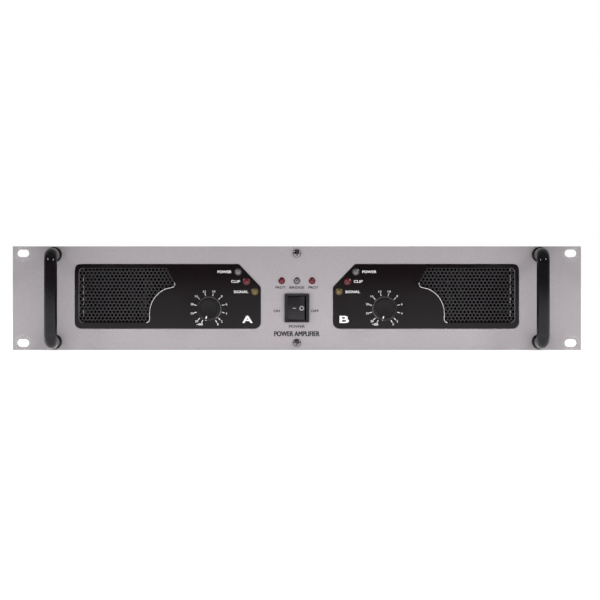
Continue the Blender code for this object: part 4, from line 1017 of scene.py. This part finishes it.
def lamps():
    """Lenses with a flat-topped dome and a moulded foot ring."""
    kinds = {"power": "clear", "clip": "red", "signal": "yellow", "prot": "red", "bridge": "clear"}
    for node in sorted(n for n in nodes if n.endswith(("_led_a", "_led_b")) or n == "bridge_led"):
        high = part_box(node)[1]
        radius, length = round_size(node)
        kind = kinds[node.split("_")[0]]
        foot = high.y - PANEL_HIGH.y
        slopes = [math.radians(degrees) for degrees in range(0, 91, 9)]
        profile = [
            *[(radius * 0.98 * math.sin(a), length - radius + radius * math.cos(a))
              for a in slopes],
            (radius * 0.98, foot + 0.0010),
            (radius, foot + 0.0010),
            (radius, foot),
            (radius * 0.88, foot),
            (radius * 0.88, 0),
            (0, 0),
        ]
        place = (middle(node).x, high.y, middle(node).z)
        piece(f"{node}_lens", turned(profile, 32), kind, FRONT, place, stands_for=[node])
        surface = INSET_Y if abs(place[0]) > 0.03 else FACE_Y
        rim = turned([(radius + 0.0005, 0), (radius + 0.0004, 0.0004), (radius - 0.0002, 0.0007),
                      (radius - 0.0002, 0), (radius + 0.0005, 0)], 32)
        piece(f"{node}_rim", rim, kind, FRONT, (place[0], surface, place[2]))


ROCKER_HALF = 0.0071  # half the width of the rocker's face


def rocker_face(x):
    """Height of the rocker's dished face in front of its pivot."""
    return 0.0034 + 0.0012 * (x / ROCKER_HALF) ** 2


def on_rocker(loops, shift):
    """A printed mark laid on the dished face, seen along +Z."""
    mark = at(flat(loops, INK), shift, 0)
    for vert in mark.verts:
        vert.co.z += rocker_face(vert.co.x) - 0.00002
    return mark


def power_switch():
    """A dished rocker with round cheeks that sweep past the sides of its window."""
    dress("moulding", "power_switch_body", edge=0.0004)
    low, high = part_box("power_rocker")
    joints = frame["record"]["behaviour"]["joints"]
    pivot = next(joint["pos_m"] for joint in joints if joint["name"] == "power_rock")
    face = [(x, rocker_face(x)) for x in (ROCKER_HALF * k / 12 for k in range(-12, 13))]
    side = [(0.0073, 0.0030), (0.0076, 0.0003), (0.0074, -0.0018), (0.0050, -0.0031)]
    outline = face + side + [(-x, y) for x, y in side[::-1]]
    block = flat([outline], high.z - low.z)
    ends = [
        edge for edge in block.edges
        if len(edge.link_faces) == 2 and edge.calc_face_angle() > 1.2
        and abs(edge.verts[0].co.z - edge.verts[1].co.z) < 1e-6
    ]
    bmesh.ops.bevel(block, geom=ends, offset=0.0005, segments=3, profile=0.5, affect="EDGES")
    block = moved(at(block, 0, 0, -(high.z - low.z) / 2), Matrix.Rotation(math.pi, 4, "X"))
    tilt = about_z(-8)
    piece("dished_rocker", block, "rocker", tilt, pivot, "rocker",
          ["power_rocker"])
    marks = [
        ("on_mark", [rectangle(0.0028, 0.0006)], -0.0017),
        ("off_mark", [circle(0.0019, 32), circle(0.0013, 32)], 0.0047),
    ]
    for name, loops, shift in marks:
        mark = on_rocker(loops, shift)
        piece(name, mark, "mark ink", tilt @ FRONT, pivot, "rocker")


# ---- case ----


def case():
    dress("case", "chassis_tray", "top_cover", "rear_panel", edge=0.0003)
    depth = CASE_HIGH.y - CASE_LOW.y
    stations = [CASE_LOW.y + depth * share for share in (0.07, 0.36, 0.65, 0.94)]
    flange_z = CASE_HIGH.z - 0.0065
    for name, aim, x, sign in (("left", LEFT, CASE_LOW.x, -1), ("right", RIGHT, CASE_HIGH.x, 1)):
        places = [(sign * y, flange_z) for y in stations]
        screws(f"cover_screws_{name}", places, 0.0030, 0.0017, aim, (x, 0, 0))
        low_places = [(sign * y, 0.0085) for y in stations[::3]]
        screws(f"tray_screws_{name}", low_places, 0.0026, 0.0015, aim, (x, 0, 0))
    rear = [(-x, 0.0815) for x in (-0.200, -0.100, 0.050, 0.200)]
    rear += [(-x, 0.0062) for x in (-0.200, -0.060, 0.060, 0.200)]
    screws("rear_screws", rear, 0.0026, 0.0015, REAR, (0, BACK_Y, 0))
    top = [(x, CASE_LOW.y + 0.0085) for x in (-0.185, -0.0925, 0.0, 0.0925, 0.185)]
    top += [(x, CASE_HIGH.y - 0.0085) for x in (-0.185, 0.0, 0.185)]
    screws("top_screws", top, 0.0031, 0.0007, UP, (0, 0, CASE_HIGH.z))


# ---- rear ----

FAN_BLADES = 7


def flange_screws(node):
    """Two screws on opposite corners of a connector's flange."""
    reach_x, reach_z = 0.0102, 0.0127
    x, y, z = rear_face(node)
    places = [(-x - reach_x, reach_z), (-x + reach_x, -reach_z)]
    screws(f"{node}_screws", places, 0.0021, 0.0011, REAR, (0, y, z))


def fan_blade(number, hub, reach, depth):
    """A cambered blade whose pitch eases off towards its tip."""
    along, across = 9, 6
    rows = []
    for i in range(along + 1):
        share = i / along
        radius = hub - 0.0008 + (reach - hub + 0.0006) * share
        pitch = math.radians(52 - 20 * share)
        chord = 0.0185 + 0.004 * share
        sweep = math.radians(360 / FAN_BLADES * number + 14 * share)
        row = []
        for j in range(across + 1):
            t = j / across - 0.5
            camber = 0.0016 * (1 - 4 * t * t)
            along_turn = chord * t * math.cos(pitch) - camber * math.sin(pitch)
            height = chord * t * math.sin(pitch) + camber * math.cos(pitch)
            height = max(-depth / 2 + 0.0008, min(depth / 2 - 0.0008, height))
            angle = sweep + along_turn / radius
            row.append((radius * math.cos(angle), radius * math.sin(angle), height))
        rows.append(row)
    bm, _ = skin(rows)
    bmesh.ops.solidify(bm, geom=bm.faces, thickness=0.0011)
    return bm


def fan():
    dress("moulding", "fan_frame", edge=0.0003)
    reach, depth = round_size("fan_rotor")
    hub, wall, half = 0.0165, 0.0014, depth / 2
    profile = [
        (0, half - 0.0004),
        (0.0030, half - 0.0004),
        (0.0036, half),
        *arc(0.0022, 90, 0, 5, (hub - 0.0022, half - 0.0022)),
        (hub, -half),
        (hub - wall, -half),
        (hub - wall, half - 0.003),
        (0, half - 0.003),
    ]
    shapes = [turned(profile, 48)]
    shapes += [fan_blade(number, hub, reach, depth) for number in range(FAN_BLADES)]
    place = middle("fan_rotor")
    piece("fan_wheel", gathered(shapes), "moulding", REAR, place, "rotor",
          ["fan_rotor"])


def wire_guard():
    """Welded rings on crossed spokes, whose ends loop round the fan's screws."""
    centre, low = middle("fan_guard"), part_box("fan_guard")[0]
    wire, loop = 0.0008, 0.0030
    outer = size("fan_guard").x / 2 - 0.0026 - wire
    screw_reach = size("fan_frame").x / 2 - 0.00425
    tip = math.hypot(screw_reach, screw_reach)
    shapes = []
    for ring in range(5):
        points = [(x, y, 3 * wire) for x, y in circle(outer - ring * 0.0071, 64)]
        shapes.append(bar(points, wire, True))
    for corner in (45, 135):
        for sign in (1, -1):
            away = Vector(polar(1, corner)) * sign
            heading = corner if sign > 0 else corner + 180
            eye = arc(loop, heading - 160, heading + 160, 20, tuple(away * tip))[::sign]
            spoke = [*eye, away * (tip - 0.006), away * 0.002]
            shapes.append(bar([(*point, wire) for point in spoke], wire))
    place = (centre.x, low.y, centre.z)
    piece("wire_guard", gathered(shapes), "zinc", REAR, place,
          stands_for=["fan_guard"])
    spots = [(sx * screw_reach, sy * screw_reach) for sx in (-1, 1) for sy in (-1, 1)]
    screws("guard_screws", spots, 0.0036, 0.0021, REAR, (centre.x, low.y + 2 * wire, centre.z))


def mains_inlet():
    dress("socket", "mains_inlet", edge=0.0003)
    x, y, z = rear_face("mains_inlet")
    pins = []
    for across, up in ((0.007, -0.002), (0, 0.002), (-0.007, -0.002)):
        pins.append(at(rounded_block(0.00215, 0.00415, 0.0122, 0.0006, 3), across, up, 0.0061))
    well = 0.0170  # depth of the floor that the pins stand on
    piece("inlet_pins", gathered(pins), "zinc", REAR, (x, y - well, z))
    screws("inlet_screws", [(-0.020, 0), (0.020, 0)], 0.0026, 0.0014, REAR, (x, y, z))


def breaker():
    dress("socket", "breaker_body", edge=0.0002)
    centre, low = middle("breaker_button"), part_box("breaker_button")[0]
    radius, length = round_size("breaker_button")
    dish = length - 0.0003
    cap = arc(0.0007, 90, 0, 5, (radius - 0.0007, length - 0.0007))
    profile = [(0, dish), (radius * 0.55, dish), (radius * 0.62, length), *cap, (radius, 0), (0, 0)]
    place = (centre.x, low.y, centre.z)
    piece("reset_button", turned(profile, 40), "red", REAR, place, "button",
          ["breaker_button"])
    nut = flat([circle(0.0078, 6), circle(0.0057, 32)], 0.0023)
    piece("breaker_nut", nut, "zinc", REAR, (centre.x, BACK_Y + 0.0006, REAR_Z))


def speaker_sockets():
    """Four-pole locking sockets: keyways in the outer ring, contacts in the slots of the core."""
    dress("socket", "speaker_socket_a", "speaker_socket_b", edge=0.0003)
    lip = [
        (0.0112, 0), (0.0116, 0.0007), (0.0124, 0.0007), (0.0128, 0),
        (0.0128, -0.0005), (0.0112, -0.0005), (0.0112, 0),
    ]
    for channel in CHANNELS:
        node = f"speaker_socket_{channel}"
        place = rear_face(node)
        shapes = [turned(lip, 56)]
        shapes += blocks_round((20, 200), (0.0016, 0.0042, 0.0100), 0.0003, 0.01065, -0.0056)
        piece(f"{node}_ring", gathered(shapes), "moulding", REAR, place)
        strip = (0.0004, 0.0024, 0.0090)
        contacts = blocks_round((45, 135, 225, 315), strip, 0.00015, 0.0058, -0.0052)
        piece(f"{node}_contacts", gathered(contacts), "zinc", REAR, place)
        flange_screws(node)


def input_jacks():
    """Combined sockets: three contact holes round the jack's bore, drawn as thin discs of painted
    shade rather than cut, and a latch at the top.
    """
    dress("socket", "input_jack_a", "input_jack_b", edge=0.0003)
    collar = [(0.0033, 0), (0.0034, 0.0006), (0.0044, 0.0006), (0.0046, 0), (0.0033, 0)]
    hole = [(0, 0.00012), (0.0011, 0.00012), (0.0011, 0), (0, 0)]
    rim = [(0.0011, 0), (0.0012, 0.0003), (0.0015, 0.0003), (0.0017, 0), (0.0011, 0)]
    for channel in CHANNELS:
        node = f"input_jack_{channel}"
        place = rear_face(node)
        piece(f"{node}_collar", turned(collar, 40), "zinc", REAR, place)
        spots = [polar(0.0064, angle) for angle in (150, 30, 270)]
        holes = [at(turned(hole, 24), x, y) for x, y in spots]
        rims = [at(turned(rim, 24), x, y) for x, y in spots]
        # painted shade: each contact hole is a thin near-black disc, not a cut hole
        piece(f"{node}_holes", gathered(holes), "hole", REAR, place)
        piece(f"{node}_rims", gathered(rims), "socket", REAR, place)
        latch = at(rounded_block(0.0070, 0.0032, 0.0016, 0.0005), 0, 0.0132, 0.0006)
        piece(f"{node}_latch", latch, "zinc", REAR, place)
        flange_screws(node)


def mode_switch():
    dress("zinc", "mode_switch_body", edge=0.0002)
    dress("moulding", "mode_switch_slider", edge=0.0003)
    centre = middle("mode_switch_body")
    surround = flat([rounded_rectangle(0.0170, 0.0100, 0.0015), rectangle(0.0100, 0.0050)], 0.0005)
    place = (centre.x, BACK_Y + 0.0001, REAR_Z)
    piece("mode_surround", surround, "zinc", REAR, place)


def rear_legends():
    words = []
    for text, node, up, width in (
        ("AC INPUT", "mains_inlet", 0.0190, 0.0170),
        ("BREAKER", "breaker_body", 0.0190, 0.0150),
        ("OUTPUT A", "speaker_socket_a", 0.0220, 0.0170),
        ("OUTPUT B", "speaker_socket_b", 0.0220, 0.0170),
        ("INPUT A", "input_jack_a", 0.0220, 0.0150),
        ("INPUT B", "input_jack_b", 0.0220, 0.0150),
        ("MODE", "mode_switch_body", 0.0125, 0.0100),
    ):
        words.append(at(letters(text, width, 0.0024, 0.00006), -middle(node).x, up))
    mode = -middle("mode_switch_body").x
    words.append(at(letters("STEREO", 0.0092, 0.0017, 0.00004), mode - 0.0090, -0.0090))
    words.append(at(letters("BRIDGE", 0.0092, 0.0017, 0.00004), mode + 0.0090, -0.0090))
    piece("rear_legends", gathered(words), "white ink", REAR, (0, BACK_Y, REAR_Z))


# ---- inside ----


def filter_cap(number):
    """A can in its sleeve, with a rolled rim and a scored vent in the top."""
    node = f"filter_cap_{number}"
    low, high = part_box(node)
    radius, height = (high.x - low.x) / 2, high.z - low.z
    lid = height - 0.0008
    profile = [
        (0, lid),
        (radius - 0.0024, lid),
        *arc(0.0012, 90, 0, 5, (radius - 0.0012, height - 0.0012)),
        (radius, 0.0048),
        (radius - 0.0007, 0.0040),
        (radius, 0.0030),
        (radius, 0),
        (0, 0),
    ]
    scores = blocks_round((0, 90), (radius * 1.1, 0.0004, 0.0006), 0.0001, 0, lid)
    can = cut_away(turned(profile, 48), *scores)
    place = (middle(node).x, middle(node).y, low.z)
    piece(f"capacitor_{number}", can, "sleeve", UP, place, stands_for=[node])


def inside():
    dress("anodised", "heatsink_left", "heatsink_right")
    dress("board", "output_board_left", "output_board_right", "supply_board", "control_board",
          "input_board")
    dress("winding", "transformer")
    dress("zinc", "transformer_clamp", *[f"handle_screw_{number}" for number in range(1, 5)])
    dress("zinc", "level_pot_a", "level_pot_b")
    dress("aluminium", "level_shaft_a", "level_shaft_b")
    dress("moulding", "rectifier")
    for number in range(1, 5):
        filter_cap(number)


# ---- studio ----


def floor():
    """A wide pale table, lit a little from within."""
    bm = bmesh.new()
    bmesh.ops.create_grid(bm, x_segments=8, y_segments=8, size=20)
    obj = solid("floor", bm)
    obj.data.materials.append(FINISHES["floor"].material)
    obj.location.z = cad_low.z - 0.0002


def area_light(name, place, target, width, height, power, seen=True):
    light = bpy.data.lights.new(name, "AREA")
    light.shape = "RECTANGLE"
    light.size, light.size_y = width, height
    light.energy = power
    obj = put(name, light)
    obj.location = place
    obj.rotation_euler = (Vector(target) - Vector(place)).to_track_quat("-Z", "Y").to_euler()
    obj.visible_camera = False
    obj.visible_glossy = seen


def softbox(name, azimuth, elevation, distance, width, height, power):
    """A light seen from the panel's middle at an azimuth from straight ahead and an elevation."""
    a, e = math.radians(azimuth), math.radians(elevation)
    away = Vector((math.sin(a) * math.cos(e), -math.cos(a) * math.cos(e), math.sin(e)))
    target = Vector((0, FACE_Y, MIDDLE_Z))
    area_light(name, target + away * distance, target, width, height, power)


def studio():
    """White behind, darker on the camera's side, two softboxes and a light overhead."""
    world = bpy.data.worlds.new("studio")
    scene.world = world
    graph = Graph(world)
    _, heading, rise = graph.axes(graph.node("TexCoord", {}, {}, "Generated"))
    behind = heading.between(-0.10, 0.60)
    above = rise.between(0.25, 1.0)
    around = graph.mix(behind, (0.07, 0.07, 0.07), (0.42, 0.42, 0.42))
    sky = graph.mix(above * 0.25, around, (0.9, 0.9, 0.9))
    plain = graph.node("LightPath", {}, {}, "Is Camera Ray")
    background = world.node_tree.nodes["Background"]
    graph.feed(background.inputs["Color"], graph.mix(plain, sky, (1.0, 1.0, 1.0)))
    softbox("left_softbox", -52, 28, 1.7, 0.26, 0.18, 5.0)
    softbox("right_softbox", 52, 28, 1.7, 0.26, 0.18, 6.8)
    area_light("overhead", (0, 0.35, 1.7), (0, 0.2, 0), 2.2, 1.4, 8, seen=False)
    low_front = (0, FACE_Y - 0.10, 0.006)
    area_light("bounce", low_front, (0, FACE_Y, 0.008), 0.60, 0.012, 0.20, seen=False)


def camera():
    """A little above the middle of the panel, from far enough to see it nearly flat."""
    data = bpy.data.cameras.new("camera")
    distance, framed, lift = 2.1, 0.5096, 0.014  # framed: width taken in at the panel
    aside, below = 3.1 / 600, 1.8 / 600  # how far the panel's middle stands off the image's
    data.sensor_width = 36.0
    data.lens = data.sensor_width * distance / framed
    data.shift_x = aside
    data.shift_y = -below - lift / framed
    obj = put("camera", data)
    obj.location = (0, FACE_Y - distance, MIDDLE_Z + lift)
    obj.rotation_euler = (math.pi / 2, 0, 0)
    scene.camera = obj
    scene.view_settings.view_transform = "Standard"


# ---- all of it ----

panel_and_insets()
for name in SIDES:
    perforated_grille(name)
    opening_trim(name)
    rack_handle(name)
panel_screws()
for channel in CHANNELS:
    level_knob(channel)
    level_dial(channel)
legends()
lamps()
power_switch()
case()
fan()
wire_guard()
mains_inlet()
breaker()
speaker_sockets()
input_jacks()
mode_switch()
rear_legends()
inside()
floor()
studio()
camera()
